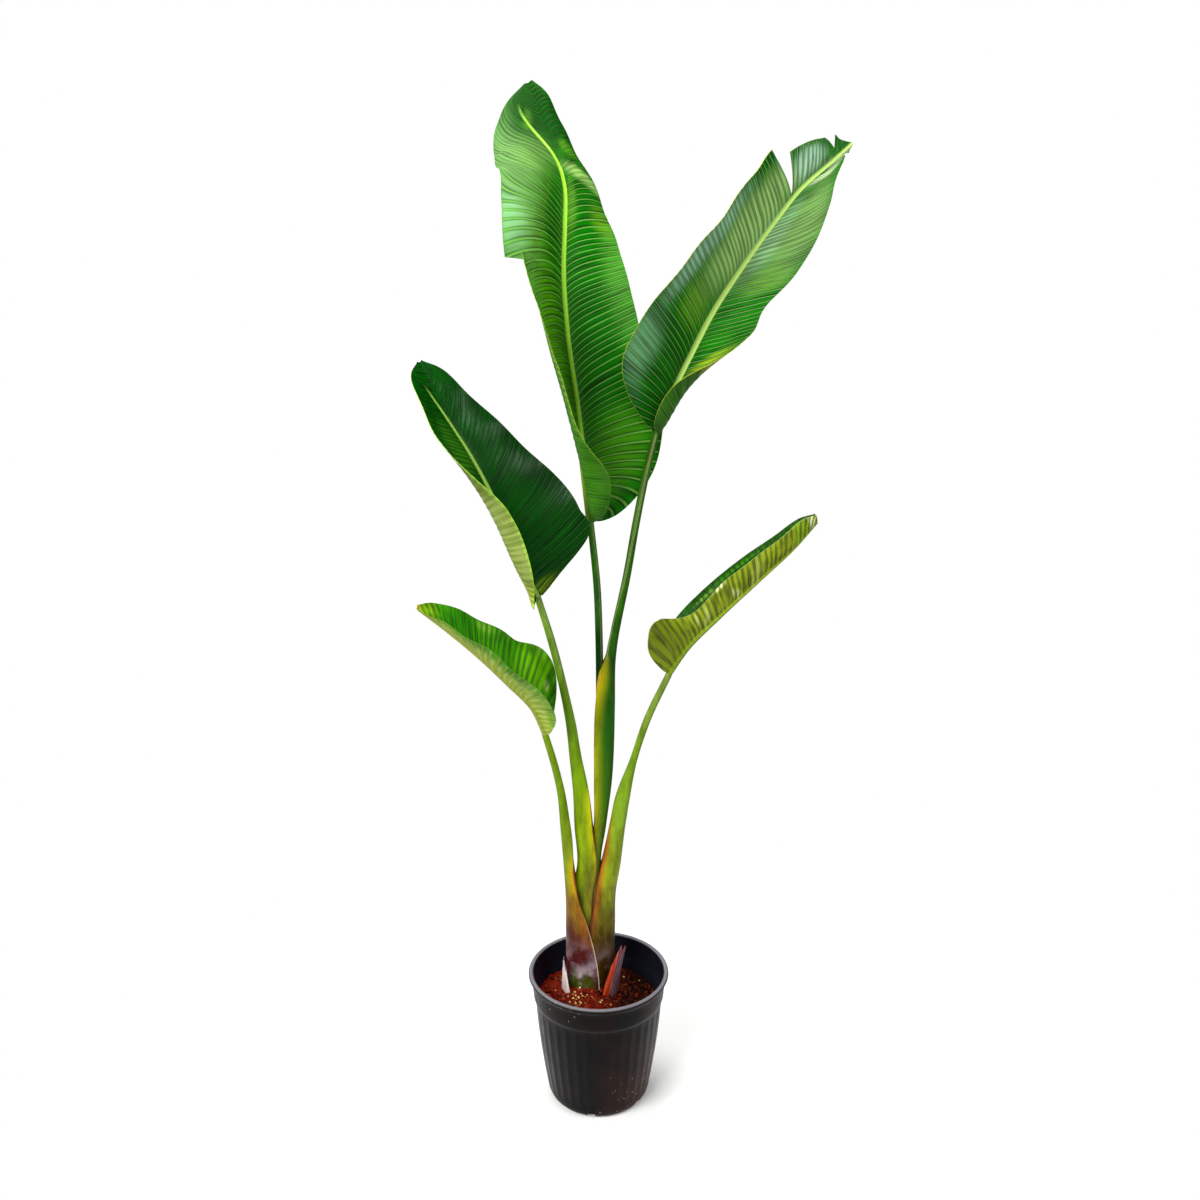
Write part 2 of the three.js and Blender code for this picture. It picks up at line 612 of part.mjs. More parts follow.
function soilHeight(x, y) {
  // The soil mounds up round the nest of stalks, tilts a little and is uneven all over.
  const mound = Math.exp(-(((x - NEST.x) / 58) ** 2 + ((y - NEST.y + 8) / 44) ** 2));
  const tilt = -0.035 * (x + y);
  const grain = 1.2 * Math.sin(x * 0.31 + y * 0.17) + 1.1 * Math.sin(y * 0.37 - x * 0.12 + 1.3);
  const calm = 0.6 * Math.min(1, Math.hypot(x, y) / 104) ** 4;
  return SOIL_AT_WALL + SOIL_RISE * mound + tilt + grain * (1 - calm);
}

function potInnerRadius(z) {
  const below = POT_INSIDE.findIndex((point) => point[1] <= z);
  const [[upperRadius, upperZ], [lowerRadius, lowerZ]] = [POT_INSIDE[below - 1], POT_INSIDE[below]];
  return lowerRadius + ((upperRadius - lowerRadius) * (z - lowerZ)) / (upperZ - lowerZ);
}

function soilGeometry() {
  // The soil fills the pot to its wall; chips of bark and small granules stand out of its top.
  const clearance = 2 * GAP;
  const wallHeights = [FLOOR_TOP + GAP, 8, RIB_BOTTOM, 120, SOIL_AT_WALL - 8];
  const wall = wallHeights.map((z) => [potInnerRadius(z) - clearance, z]);
  const edge = wall.at(-1)[0];
  const rings = [edge, 92, 78, 64, 52, 38, 20, 0].map((radius) => [radius, SOIL_AT_WALL]);
  const profile = [[0, FLOOR_TOP + GAP], ...wall, ...rings].map(([r, z]) => new THREE.Vector2(r, z));
  const lathe = new THREE.LatheGeometry(profile, SOIL_SIDES).rotateX(Math.PI / 2);
  const position = lathe.getAttribute("position");
  for (let i = 0; i < position.count; i += 1) {
    if (position.getZ(i) < SOIL_AT_WALL - 0.01) continue;
    position.setZ(i, soilHeight(position.getX(i), position.getY(i)));
  }
  let soil = solidOf(lathe);
  const draw = random(29);
  for (let i = 0; i < CHIP_COUNT; i += 1) {
    const angle = ((i + 0.6 * draw()) / CHIP_COUNT) * 2 * Math.PI;
    const radius = CHIP.from + (CHIP.to - CHIP.from) * draw();
    const [x, y] = [radius * Math.cos(angle), radius * Math.sin(angle)];
    const [longer, wider] = [8 * draw(), 4 * draw()];
    const chip = new THREE.BoxGeometry(CHIP.length + longer, CHIP.width + wider, CHIP.height);
    chip.rotateX(0.5 * (draw() - 0.5)).rotateY(0.5 * (draw() - 0.5)).rotateZ(draw() * Math.PI);
    chip.translate(x, y, soilHeight(x, y) + 0.5);
    soil = soil.add(solidOf(chip));
  }
  for (let i = 0; i < GRANULE_COUNT; i += 1) {
    const [x, y] = [-34 + 30 * draw(), -22 - 26 * draw()];
    const granule = new THREE.OctahedronGeometry(GRANULE_RADIUS, 0);
    granule.translate(x, y, soilHeight(x, y) + 1);
    soil = soil.add(solidOf(granule));
  }
  // The nest's hole, and a seat for each old sheath.
  const hole = new THREE.CylinderGeometry(1, 1, 120, 36).rotateX(Math.PI / 2);
  hole.scale(NEST.along, NEST.across, 1).translate(NEST.x, NEST.y, NEST.bottom + 60);
  soil = soil.subtract(solidOf(hole));
  for (const rows of Object.values(OLD_SHEATHS)) {
    soil = soil.subtract(solidOf(stalkGeometry(rows, OLD_SHEATH_STATIONS, null, SEAT_CLEARANCE)));
  }
  return geometryOf(soil);
}

const plant = new THREE.Group();

function addPiece(name, geometry, colour, roughness) {
  const material = new THREE.MeshStandardMaterial({ color: colour, roughness, metalness: 0 });
  const mesh = new THREE.Mesh(geometry, material);
  mesh.name = name;
  plant.add(mesh);
}

addPiece("pot", potGeometry(), COLOURS.pot, 0.6);
addPiece("soil", soilGeometry(), COLOURS.soil, 1);
for (const [name, leaf] of Object.entries(LEAVES)) {
  const path = alongPath(leaf.midrib);
  const { point, along, normal } = frameAt(path, leaf.facing, 0);
  const seat = point.clone().addScaledVector(normal, -0.5 * leaf.keel[0][1]).addScaledVector(along, -GAP);
  const shape = STALKS[name].at(-1).slice(5);
  const rows = [...STALKS[name], [...seat.toArray(), STALK_TOP, STALK_TOP, ...shape]];
  addPiece(`${name}_stalk`, stalkGeometry(rows, STALK_STATIONS, { along, normal }), COLOURS.stalk, 0.5);
  addPiece(`${name}_blade`, bladeGeometry(leaf), COLOURS.blade, 0.45);
}
for (const [name, rows] of Object.entries(OLD_SHEATHS)) {
  addPiece(name, stalkGeometry(rows, OLD_SHEATH_STATIONS, null), COLOURS.dry, 0.8);
}

export default plant;
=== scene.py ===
# A giant bird of paradise in its nursery pot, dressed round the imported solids. Metres, +Z up;
# the plant's front is -Y.
import functools
import math
import random

import bpy
import numpy as np
from mathutils import Euler, Matrix, Vector, noise


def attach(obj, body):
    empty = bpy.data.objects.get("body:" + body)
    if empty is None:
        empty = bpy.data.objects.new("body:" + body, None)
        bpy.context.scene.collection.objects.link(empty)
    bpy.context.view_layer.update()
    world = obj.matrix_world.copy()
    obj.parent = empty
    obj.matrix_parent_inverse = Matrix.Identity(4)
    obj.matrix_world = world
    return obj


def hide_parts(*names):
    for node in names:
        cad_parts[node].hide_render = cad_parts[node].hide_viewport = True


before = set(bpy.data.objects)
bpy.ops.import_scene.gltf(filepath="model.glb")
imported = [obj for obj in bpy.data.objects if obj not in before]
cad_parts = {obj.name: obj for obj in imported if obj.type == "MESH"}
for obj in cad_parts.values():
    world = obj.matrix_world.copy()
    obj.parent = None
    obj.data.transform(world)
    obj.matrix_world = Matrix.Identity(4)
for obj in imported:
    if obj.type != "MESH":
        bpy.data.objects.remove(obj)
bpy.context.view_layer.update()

# The nursery pot: black polyethylene, moulded in one piece with a rolled rim, a plain band under
# it, upright flutes down the wall and drainage slots round the foot. It is drawn up ring by ring
# from a disc, the flutes are pressed in and the slots are cut last.
POT_SIDES = 432
FLUTES = 36
FLUTE_DEPTH = 0.0008
FLUTE_BOTTOM = 0.019
FLUTE_TOP = 0.177
FLUTE_FADE = 0.009
RIM_CENTRE = (0.1162, 0.2215)
RIM_RADIUS = 0.0042
SLOTS = 6
SLOT_SIZE = (0.020, 0.016, 0.013)
SLOT_AT = (0.086, 0.004)
INNER_WALL = [(0.003, 0.077), (0.008, 0.082), (0.022, 0.0876), (0.12, 0.1014), (0.181, 0.1069)]


def linear(code):
    """An sRGB hex colour as linear red, green, blue and alpha."""
    shares = [int(code[i : i + 2], 16) / 255 for i in (1, 3, 5)]
    return [c / 12.92 if c <= 0.04045 else ((c + 0.055) / 1.055) ** 2.4 for c in shares] + [1.0]


def plug(node, sockets):
    """Fills a node's sockets: a node or an output is linked, a hex colour or a number is set, and
    From and To take the least and the most."""
    for key, value in sockets.items():
        if key in ("From", "To"):
            plug(node, {key + " Min": value[0], key + " Max": value[1]})
            continue
        named = (s for s in node.inputs if s.enabled and s.name == key)
        socket = node.inputs[key] if isinstance(key, int) else next(named)
        if isinstance(value, bpy.types.Node):
            value = next(s for s in value.outputs if s.enabled)
        if isinstance(value, bpy.types.NodeSocket):
            node.id_data.links.new(value, socket)
        else:
            socket.default_value = linear(value) if isinstance(value, str) else value


def add_node(tree, kind, sockets=(), stops=(), **settings):
    """Adds a shader node with its settings, sockets and colour stops."""
    node = tree.nodes.new("ShaderNode" + kind)
    for name, value in settings.items():
        setattr(node, name, value)
    plug(node, dict(sockets))
    for _ in stops[2:]:
        node.color_ramp.elements.new(0.5)
    for i, (place, code) in enumerate(stops):
        node.color_ramp.elements[i].position = place
        node.color_ramp.elements[i].color = linear(code)
    return node


def new_material(title):
    """A new material, with add_node for its tree and with its shader."""
    material = bpy.data.materials.new(title)
    material.use_nodes = True
    tree = material.node_tree
    return material, functools.partial(add_node, tree), tree.nodes["Principled BSDF"]


def places_of(piece):
    """The places of a mesh's vertices."""
    flat = np.empty(3 * len(piece.data.vertices), np.float32)
    piece.data.vertices.foreach_get("co", flat)
    return flat.reshape(-1, 3).astype(float)


def put_places(piece, places):
    """Moves a mesh's vertices."""
    piece.data.vertices.foreach_set("co", np.asarray(places, np.float32).ravel())
    piece.data.update()


def mark(piece, name, values):
    """Writes one number for each vertex, which a material reads."""
    attribute = piece.data.attributes.new(name, "FLOAT", "POINT")
    attribute.data.foreach_set("value", np.asarray(values, np.float32))


def finish_piece(piece, materials, replaced=()):
    """Gives a piece its materials, its body and the solids that it stands for."""
    piece.data.name = piece.name
    for material in materials:
        piece.data.materials.append(material)
    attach(piece, "root")
    if replaced:
        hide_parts(*replaced)


def pot_outline():
    """The pot's outline from the foot up the outside, over the rim and down the inside."""
    outline = [(0.0760, 0.0), (0.0795, 0.0004), (0.0828, 0.0020), (0.0853, 0.0048)]
    outline += [(0.0872, 0.0082), (0.0885, 0.0130), (0.0893, 0.0185)]
    for share in np.linspace(0, 1, 27):
        bulge = 0.0084 * share * (1 - share)
        outline.append((0.0898 + 0.0193 * share + bulge, 0.0215 + 0.1550 * share))
    outline += [(0.1098, 0.1785), (0.1110, 0.1805), (0.1119, 0.1826), (0.1124, 0.1860)]
    outline += [(0.1133, 0.1980), (0.1140, 0.2090), (0.1144, 0.2125), (0.1158, 0.2158)]
    for turn in np.radians(np.linspace(-62, 200, 11)):
        across = RIM_CENTRE[0] + RIM_RADIUS * math.cos(turn)
        outline.append((across, RIM_CENTRE[1] + RIM_RADIUS * math.sin(turn)))
    outline += [(0.1118, 0.2120), (0.1110, 0.2000), (0.1101, 0.1880), (0.1082, 0.1830)]
    return outline + [(radius, height) for height, radius in reversed(INNER_WALL)]


outline = pot_outline()
bpy.ops.object.select_all(action="DESELECT")
bpy.ops.mesh.primitive_circle_add(vertices=POT_SIDES, radius=outline[0][0], fill_type="NGON")
pot = bpy.context.object
pot.name = "nursery_pot"
bpy.ops.object.mode_set(mode="EDIT")
for (radius, height), (next_radius, next_height) in zip(outline, outline[1:]):
    rise = (0, 0, next_height - height)
    bpy.ops.mesh.extrude_region_move(TRANSFORM_OT_translate={"value": rise})
    growth = (next_radius / radius, next_radius / radius, 1)
    bpy.ops.transform.resize(value=growth, center_override=(0, 0, next_height))
bpy.ops.mesh.select_all(action="SELECT")
bpy.ops.mesh.normals_make_consistent(inside=False)
bpy.ops.object.mode_set(mode="OBJECT")

places = places_of(pot)
around = np.arctan2(places[:, 1], places[:, 0])
radius = np.hypot(places[:, 0], places[:, 1])
inside = np.interp(places[:, 2], *zip(*INNER_WALL))
fade = np.clip((places[:, 2] - FLUTE_BOTTOM) / FLUTE_FADE, 0, 1)
fade *= np.clip((FLUTE_TOP - places[:, 2]) / FLUTE_FADE, 0, 1)
groove = (0.5 - 0.5 * np.cos(FLUTES * around)) ** 0.7
pressed = np.where(radius > inside + 0.001, FLUTE_DEPTH * groove * fade, 0)
places[:, :2] *= ((radius - pressed) / radius)[:, None]
put_places(pot, places)

bpy.ops.object.select_all(action="DESELECT")
for i in range(SLOTS):
    turn = (i + 0.35) / SLOTS * 2 * math.pi
    where = (SLOT_AT[0] * math.cos(turn), SLOT_AT[0] * math.sin(turn), SLOT_AT[1])
    bpy.ops.mesh.primitive_cube_add(size=1, location=where, rotation=(0, 0, turn), scale=SLOT_SIZE)
    bpy.ops.object.mode_set(mode="EDIT")
    bpy.ops.mesh.bevel(offset=0.0025, segments=3)
    bpy.ops.object.mode_set(mode="OBJECT")
    slot_tool = bpy.context.object
    bpy.ops.object.select_all(action="DESELECT")
    bpy.context.view_layer.objects.active = pot
    cut = pot.modifiers.new("slot", "BOOLEAN")
    cut.object = slot_tool
    cut.solver = "EXACT"
    bpy.ops.object.modifier_apply(modifier=cut.name)
    bpy.data.objects.remove(slot_tool)
pot.select_set(True)
bpy.ops.object.shade_smooth_by_angle(angle=math.radians(40))
places = places_of(pot)
mouth = [(0.183, 0.1082), (0.188, 0.1101), (0.200, 0.1110), (0.212, 0.1118), (0.220, 0.1120)]
inside = np.interp(places[:, 2], *zip(*INNER_WALL, *mouth)) + 0.0006
mark(pot, "inside", np.hypot(places[:, 0], places[:, 1]) < inside)

# Black polyethylene, moulded: a soft gloss, dry dust in the flutes and on the band, pale scuffs
# and specks, a painted highlight down the flutes on the left side and along the top of the rim,
# and a blotchy brown tint that grows towards the right side.
polyethylene, node, shader = new_material("moulded black polyethylene")
place = node("TexCoord").outputs["Object"]
dust = node("TexNoise", {"Vector": place, "Scale": 34, "Detail": 6, "Roughness": 0.65})
blotches = node("TexNoise", {"Vector": place, "Scale": 9, "Detail": 4})
blotch_share = node("ValToRGB", {"Fac": blotches}, stops=[(0.40, "#000000"), (0.66, "#a4a4a4")])
black = node("ValToRGB", {"Fac": dust}, stops=[(0.30, "#020202"), (0.55, "#050405"), (0.78, "#120e0c")])
apart = node("SeparateXYZ", {"Vector": place})
# A blotchy brown tint grows towards the right side.
right = node("MapRange", {"Value": apart.outputs["X"], "From": (-0.02, 0.09), "To": (0.25, 2.2)})
brown_towards_right = node("Math", {0: blotch_share, 1: right}, operation="MULTIPLY", use_clamp=True)
brown = node("Mix", {"Factor": brown_towards_right, "A": black, "B": "#34190f"}, data_type="RGBA")
down = node("Mapping", {"Vector": place, "Scale": (260, 260, 9)})
scuff = node("TexNoise", {"Vector": down, "Scale": 1, "Detail": 5, "Roughness": 0.7})
scuff_share = node("ValToRGB", {"Fac": scuff}, stops=[(0.57, "#000000"), (0.78, "#444444")])
# Painted highlight: the pale scuffs grow much stronger towards the left side, where the flutes catch the
# light.
left = node("MapRange", {"Value": apart.outputs["X"], "From": (-0.02, -0.10), "To": (0.6, 3.0)})
scuffs_and_highlight_left = node("Math", {0: scuff_share, 1: left}, operation="MULTIPLY", use_clamp=True)
scuffed_and_highlighted = node("Mix", {"Factor": scuffs_and_highlight_left, "A": brown, "B": "#6b6864"}, data_type="RGBA")
grit = node("TexVoronoi", {"Vector": place, "Scale": 120})
grit_share = node("ValToRGB", {"Fac": grit}, stops=[(0.09, "#ffffff"), (0.16, "#000000")])
grit_where = node("Math", {0: blotches, 1: 0.56}, operation="GREATER_THAN")
grit_all = node("Math", {0: grit_share, 1: grit_where}, operation="MULTIPLY")
specked = node("Mix", {"Factor": grit_all, "A": scuffed_and_highlighted, "B": "#8b8378"}, data_type="RGBA")
inner_wall = node("Attribute", attribute_name="inside").outputs["Fac"]
shadowed = node("Mix", {"Factor": inner_wall, "A": specked, "B": "#13151d"}, data_type="RGBA")
# Painted highlight: the top of the rolled rim is painted pale grey, where it catches the light.
rim = node(
    "MapRange", {"Value": apart.outputs["Z"], "From": (0.2222, 0.2254), "To": (0, 0.85)},
    interpolation_type="SMOOTHSTEP"
)
rim_highlighted = node("Mix", {"Factor": rim, "A": shadowed, "B": "#79767c"}, data_type="RGBA")
worn = node("ValToRGB", {"Fac": dust}, stops=[(0.25, "#8c8c8c"), (0.80, "#bcbcbc")])
skin = node("Bump", {"Height": dust, "Strength": 0.35, "Distance": 0.0004})
plug(
    shader,
    {"Base Color": rim_highlighted, "Roughness": worn, "Normal": skin, "IOR": 1.5, "Specular IOR Level": 0.08}
)
finish_piece(pot, [polyethylene], ["pot"])

# The potting mix: damp reddish coir and bark that mounds up round the stalks. Its top is a fine
# grid drawn to the pot's wall and roughened, its sides follow the wall down, and bark chips,
# loose coir fibres and pale fertiliser granules lie on it.
SOIL_RADIUS = 0.1051
SOIL_AT_WALL = 0.170
SOIL_RISE = 0.022
SOIL_LEAN = 0.035
MOUND_REACH = (0.058, 0.044)
SOIL_FOOT = 0.0035
NEST = (-0.0145, 0.020)
NEST_REACH = (0.044, 0.028)
CHIPS = 520
FIBRES = 620
FIBRE_THICKNESS = 0.00045
FIBRE_LIFT = 0.0008
GRANULES = 34
SPILL = (-0.036, -0.024)


def soil_height(x, y):
    """The height of the mix: the mound, a slight tilt and the unevenness of the solid."""
    off = ((x - NEST[0]) / MOUND_REACH[0]) ** 2 + ((y - NEST[1] + 0.008) / MOUND_REACH[1]) ** 2
    mound = math.exp(-off)
    grain = 0.0012 * math.sin(310 * x + 170 * y) + 0.0011 * math.sin(370 * y - 120 * x + 1.3)
    calm = 0.6 * min(1, math.hypot(x, y) / 0.104) ** 4
    return SOIL_AT_WALL + SOIL_RISE * mound - SOIL_LEAN * (x + y) + grain * (1 - calm)


bpy.ops.object.select_all(action="DESELECT")
bpy.ops.mesh.primitive_grid_add(x_subdivisions=170, y_subdivisions=170, size=2)
soil = bpy.context.object
soil.name = "potting_mix"
places = places_of(soil)
x, y = places[:, 0].copy(), places[:, 1].copy()
places[:, 0] = SOIL_RADIUS * x * np.sqrt(1 - y * y / 2)
places[:, 1] = SOIL_RADIUS * y * np.sqrt(1 - x * x / 2)
for spot in places:
    here = Vector((spot[0], spot[1], 0))
    crumb = noise.fractal(here * 150, 0.9, 2.1, 4) * 0.0022
    lump = max(0, noise.noise(here * 75 + Vector((3, 1, 7)))) * 0.0040
    spot[2] = soil_height(spot[0], spot[1]) + crumb + lump
put_places(soil, places)
bpy.ops.object.mode_set(mode="EDIT")
bpy.ops.mesh.select_all(action="SELECT")
bpy.ops.mesh.region_to_loop()
bpy.ops.mesh.extrude_region_move(TRANSFORM_OT_translate={"value": (0, 0, -0.05)})
bpy.ops.transform.resize(value=(0.95, 0.95, 0), center_override=(0, 0, 0.12))
bpy.ops.mesh.extrude_region_move(TRANSFORM_OT_translate={"value": (0, 0, SOIL_FOOT - 0.12)})
bpy.ops.transform.resize(value=(0.77, 0.77, 1), center_override=(0, 0, SOIL_FOOT))
bpy.ops.mesh.edge_face_add()
bpy.ops.mesh.select_all(action="SELECT")
bpy.ops.mesh.normals_make_consistent(inside=False)
bpy.ops.object.mode_set(mode="OBJECT")
bpy.ops.object.shade_smooth()

# Damp coir dust: dark red-brown, nearly matt, blackish in damp patches, and darkened towards the
# right side as painted shade.
coir, node, shader = new_material("damp coir and bark dust")
place = node("TexCoord").outputs["Object"]
crumbs = node("TexNoise", {"Vector": place, "Scale": 260, "Detail": 8, "Roughness": 0.7})
damp = node("TexNoise", {"Vector": place, "Scale": 16, "Detail": 3})
dry_mix = node(
    "ValToRGB", {"Fac": crumbs},
    stops=[(0.28, "#240402"), (0.48, "#5c0e05"), (0.66, "#8c240c"), (0.82, "#b84a20")]
)
shade_and_damp_mix = node("ValToRGB", {"Fac": crumbs}, stops=[(0.30, "#0a0302"), (0.60, "#1c0805"), (0.85, "#3c180e")])
apart = node("SeparateXYZ", {"Vector": place})
right = node("MapRange", {"Value": apart.outputs["X"], "From": (-0.02, 0.08)})
shade_and_damp = node("Math", {0: right, 1: damp}, operation="ADD")
shade_and_damp_share = node("MapRange", {"Value": shade_and_damp, "From": (0.55, 1.25)})
mixed = node("Mix", {"Factor": shade_and_damp_share, "A": dry_mix, "B": shade_and_damp_mix}, data_type="RGBA")
rough = node("MapRange", {"Value": shade_and_damp_share, "To": (0.85, 0.5)})
relief = node("Bump", {"Height": crumbs, "Strength": 0.8, "Distance": 0.0012})
plug(shader, {"Base Color": mixed, "Roughness": rough, "Normal": relief, "Specular IOR Level": 0.2})
finish_piece(soil, [coir], ["soil"])


def shaded_copy(model, shade):
    """A copy of a small model, with one shade for all of it."""
    copy = model.copy()
    copy.data = model.data.copy()
    mark(copy, "shade", np.full(len(copy.data.vertices), shade))
    bpy.context.scene.collection.objects.link(copy)
    return copy


def joined(model, copies, title):
    """Joins the copies of a small model in one piece, and removes the model."""
    bpy.data.objects.remove(model)
    bpy.ops.object.select_all(action="DESELECT")
    for copy in copies:
        copy.select_set(True)
    bpy.context.view_layer.objects.active = copies[0]
    bpy.ops.object.join()
    bpy.context.object.name = title
    return bpy.context.object


def on_soil(draw, spread):
    """A place on the mix, clear of the stalks, with the mix's height."""
    while True:
        turn, away = draw.uniform(0, 2 * math.pi), spread * math.sqrt(draw.random())
        x, y = away * math.cos(turn), away * math.sin(turn)
        if ((x - NEST[0]) / NEST_REACH[0]) ** 2 + ((y - NEST[1]) / NEST_REACH[1]) ** 2 > 1:
            return Vector((x, y, soil_height(x, y)))


draw = random.Random(29)
bpy.ops.object.select_all(action="DESELECT")
bpy.ops.mesh.primitive_cube_add(size=1)
flake = bpy.context.object
bpy.ops.object.mode_set(mode="EDIT")
bpy.ops.mesh.subdivide(number_cuts=1)
bpy.ops.transform.vertex_random(offset=0.10, seed=5)
bpy.ops.mesh.bevel(offset=0.05, segments=1)
bpy.ops.object.mode_set(mode="OBJECT")
chips = []
for i in range(CHIPS):
    spot = on_soil(draw, SOIL_RADIUS - 0.006)
    length = draw.uniform(0.0022, 0.0075)
    scale = (length, length * draw.uniform(0.35, 0.8), draw.uniform(0.0010, 0.0026))
    tilt = Euler((draw.gauss(0, 0.35), draw.gauss(0, 0.35), draw.uniform(0, 6.28)))
    lift = Vector((0, 0, draw.uniform(0.0002, 0.0022)))
    chips.append(shaded_copy(flake, draw.random()))
    chips[-1].data.transform(Matrix.LocRotScale(spot + lift, tilt, scale))
bark_chips = joined(flake, chips, "bark_chips")

# Composted pine bark: corky flakes from fox red to nearly black, rough and matt.
bark, node, shader = new_material("composted pine bark")
place = node("TexCoord").outputs["Object"]
shade = node("Attribute", attribute_name="shade").outputs["Fac"]
cork = node("TexNoise", {"Vector": place, "Scale": 420, "Detail": 5})
tones = node(
    "ValToRGB", {"Fac": shade},
    stops=[(0.0, "#1a0503"), (0.35, "#520e05"), (0.7, "#84200a"), (1.0, "#a8481e")]
)
cork_shade = node("MapRange", {"Value": cork, "From": (0.3, 0.7), "To": (0.45, 1)})
apart = node("SeparateXYZ", {"Vector": place})
# Painted shade: the chips darken towards the right side.
painted_shade_right = node("MapRange", {"Value": apart.outputs["X"], "From": (-0.02, 0.06), "To": (1.0, 0.3)})
chip_shade = node("Math", {0: cork_shade, 1: painted_shade_right}, operation="MULTIPLY")
corked_and_shaded = node("Mix", {"Factor": 1.0, "A": tones, "B": chip_shade}, data_type="RGBA", blend_type="MULTIPLY")
flakes = node("Bump", {"Height": cork, "Strength": 0.7, "Distance": 0.0005})
plug(shader, {"Base Color": corked_and_shaded, "Normal": flakes, "Roughness": 0.8, "Specular IOR Level": 0.2})
finish_piece(bark_chips, [bark])


def flat_grid(title, stations, sides):
    """A flat grid, two units wide each way."""
    bpy.ops.object.select_all(action="DESELECT")
    bpy.ops.mesh.primitive_grid_add(x_subdivisions=stations, y_subdivisions=sides, size=2)
    bpy.context.object.name = title
    return bpy.context.object


def grid_spots(piece, stations, sides):
    """The station and the side of each vertex of a flat grid."""
    share = (places_of(piece)[:, :2] + 1) / 2
    return np.rint(share * (stations, sides)).astype(int).T


def corners_of(piece):
    """The vertex at each corner of each face."""
    corner = np.empty(len(piece.data.loops), np.int32)
    piece.data.loops.foreach_get("vertex_index", corner)
    return corner


def put_strip(piece, strip):
    """Lays a piece's skin out flat, from the place of each vertex on a strip."""
    laid = strip[corners_of(piece)].astype(np.float32)
    piece.data.uv_layers[0].data.foreach_set("uv", laid.ravel())


def ringed_grid(title, stations, sides, shape):
    """A grid that shape() rolls into a tube; its seam is welded and its ends are closed."""
    piece = flat_grid(title, stations, sides)
    row, side = grid_spots(piece, stations, sides)
    rings, marks, strip = shape(stations, sides)
    put_places(piece, rings[row, side % sides])
    for name, values in marks.items():
        mark(piece, name, values[row, side % sides])
    put_strip(piece, strip[row, side])
    bpy.ops.object.mode_set(mode="EDIT")
    bpy.ops.mesh.select_all(action="SELECT")
    bpy.ops.mesh.remove_doubles(threshold=1e-6)
    bpy.ops.mesh.select_all(action="SELECT")
    bpy.ops.mesh.fill_holes(sides=0)
    bpy.ops.mesh.select_all(action="SELECT")
    bpy.ops.mesh.normals_make_consistent(inside=False)
    bpy.ops.object.mode_set(mode="OBJECT")
    bpy.ops.object.shade_smooth_by_angle(angle=math.radians(60))
    return piece


def fibre_shape(stations, sides):
    """A straight thin thread of unit length, thinner towards both ends."""
    along = np.linspace(0, 1, stations + 1)[:, None]
    turn = np.arange(sides) / sides * 2 * math.pi
    thick = 0.5 * (0.35 + 0.65 * np.sin(math.pi * along))
    rings = np.stack(np.broadcast_arrays(along - 0.5, thick * np.cos(turn), thick * np.sin(turn)), -1)
    return rings, {}, np.zeros((stations + 1, sides + 1, 2))


fibre_parts = []
for i in range(FIBRES):
    spot = on_soil(draw, SOIL_RADIUS - 0.008)
    fibre_parts.append((spot, draw.uniform(0.006, 0.026), draw.uniform(0, 6.28), draw.random()))
thread = ringed_grid("thread", 8, 3, fibre_shape)
straight = places_of(thread)
fibres = []
for spot, length, turn, shade in fibre_parts:
    bow = draw.uniform(-0.35, 0.35) * length
    s = straight[:, 0]
    local_x = s * length
    local_y = bow * (0.25 - s * s) + straight[:, 1] * FIBRE_THICKNESS
    x = spot[0] + local_x * math.cos(turn) - local_y * math.sin(turn)
    y = spot[1] + local_x * math.sin(turn) + local_y * math.cos(turn)
    arch = draw.uniform(0.0005, 0.0045) * (1 - 4 * s * s)
    base = np.array([soil_height(a, b) for a, b in zip(x, y)])
    inward = np.minimum(1, (SOIL_RADIUS - 0.001) / np.hypot(x, y))
    z = base + FIBRE_LIFT + arch + straight[:, 2] * FIBRE_THICKNESS
    fibres.append(shaded_copy(thread, shade))
    put_places(fibres[-1], np.stack([x * inward, y * inward, z], -1))
coir_fibres = joined(thread, fibres, "coir_fibres")

# Coconut husk fibre: stiff tan to rust threads with a faint sheen.
husk, node, shader = new_material("coconut husk fibre")
shade = node("Attribute", attribute_name="shade").outputs["Fac"]
tones = node(
    "ValToRGB", {"Fac": shade},
    stops=[(0.0, "#3b0f08"), (0.5, "#7a2712"), (0.85, "#a8532a"), (1.0, "#d39a66")]
)
place = node("TexCoord").outputs["Object"]
apart = node("SeparateXYZ", {"Vector": place})
# Painted shade: the fibres darken towards the right side.
painted_shade_right = node("MapRange", {"Value": apart.outputs["X"], "From": (-0.02, 0.06), "To": (1.0, 0.25)})
shaded_right_tones = node(
    "Mix", {"Factor": 1.0, "A": tones, "B": painted_shade_right}, data_type="RGBA", blend_type="MULTIPLY"
)
plug(shader, {"Base Color": shaded_right_tones, "Roughness": 0.6, "Specular IOR Level": 0.2})
finish_piece(coir_fibres, [husk])

bpy.ops.object.select_all(action="DESELECT")
bpy.ops.mesh.primitive_ico_sphere_add(subdivisions=2, radius=1)
bead = bpy.context.object
bpy.ops.object.shade_smooth()
granules = []
for i in range(GRANULES):
    x, y = draw.gauss(SPILL[0], 0.010), draw.gauss(SPILL[1], 0.012)
    if i % 4 == 0:
        x, y, _ = on_soil(draw, 0.09)
    size = draw.uniform(0.0011, 0.0018)
    spot = Vector((x, y, soil_height(x, y) + 0.0012 + size * 0.5))
    scale = (size, size * draw.uniform(0.8, 1), size * draw.uniform(0.75, 1))
    turn = Euler((0, 0, draw.random() * 6))
    granules.append(shaded_copy(bead, draw.random()))
    granules[-1].data.transform(Matrix.LocRotScale(spot, turn, scale))
fertiliser = joined(bead, granules, "fertiliser_granules")

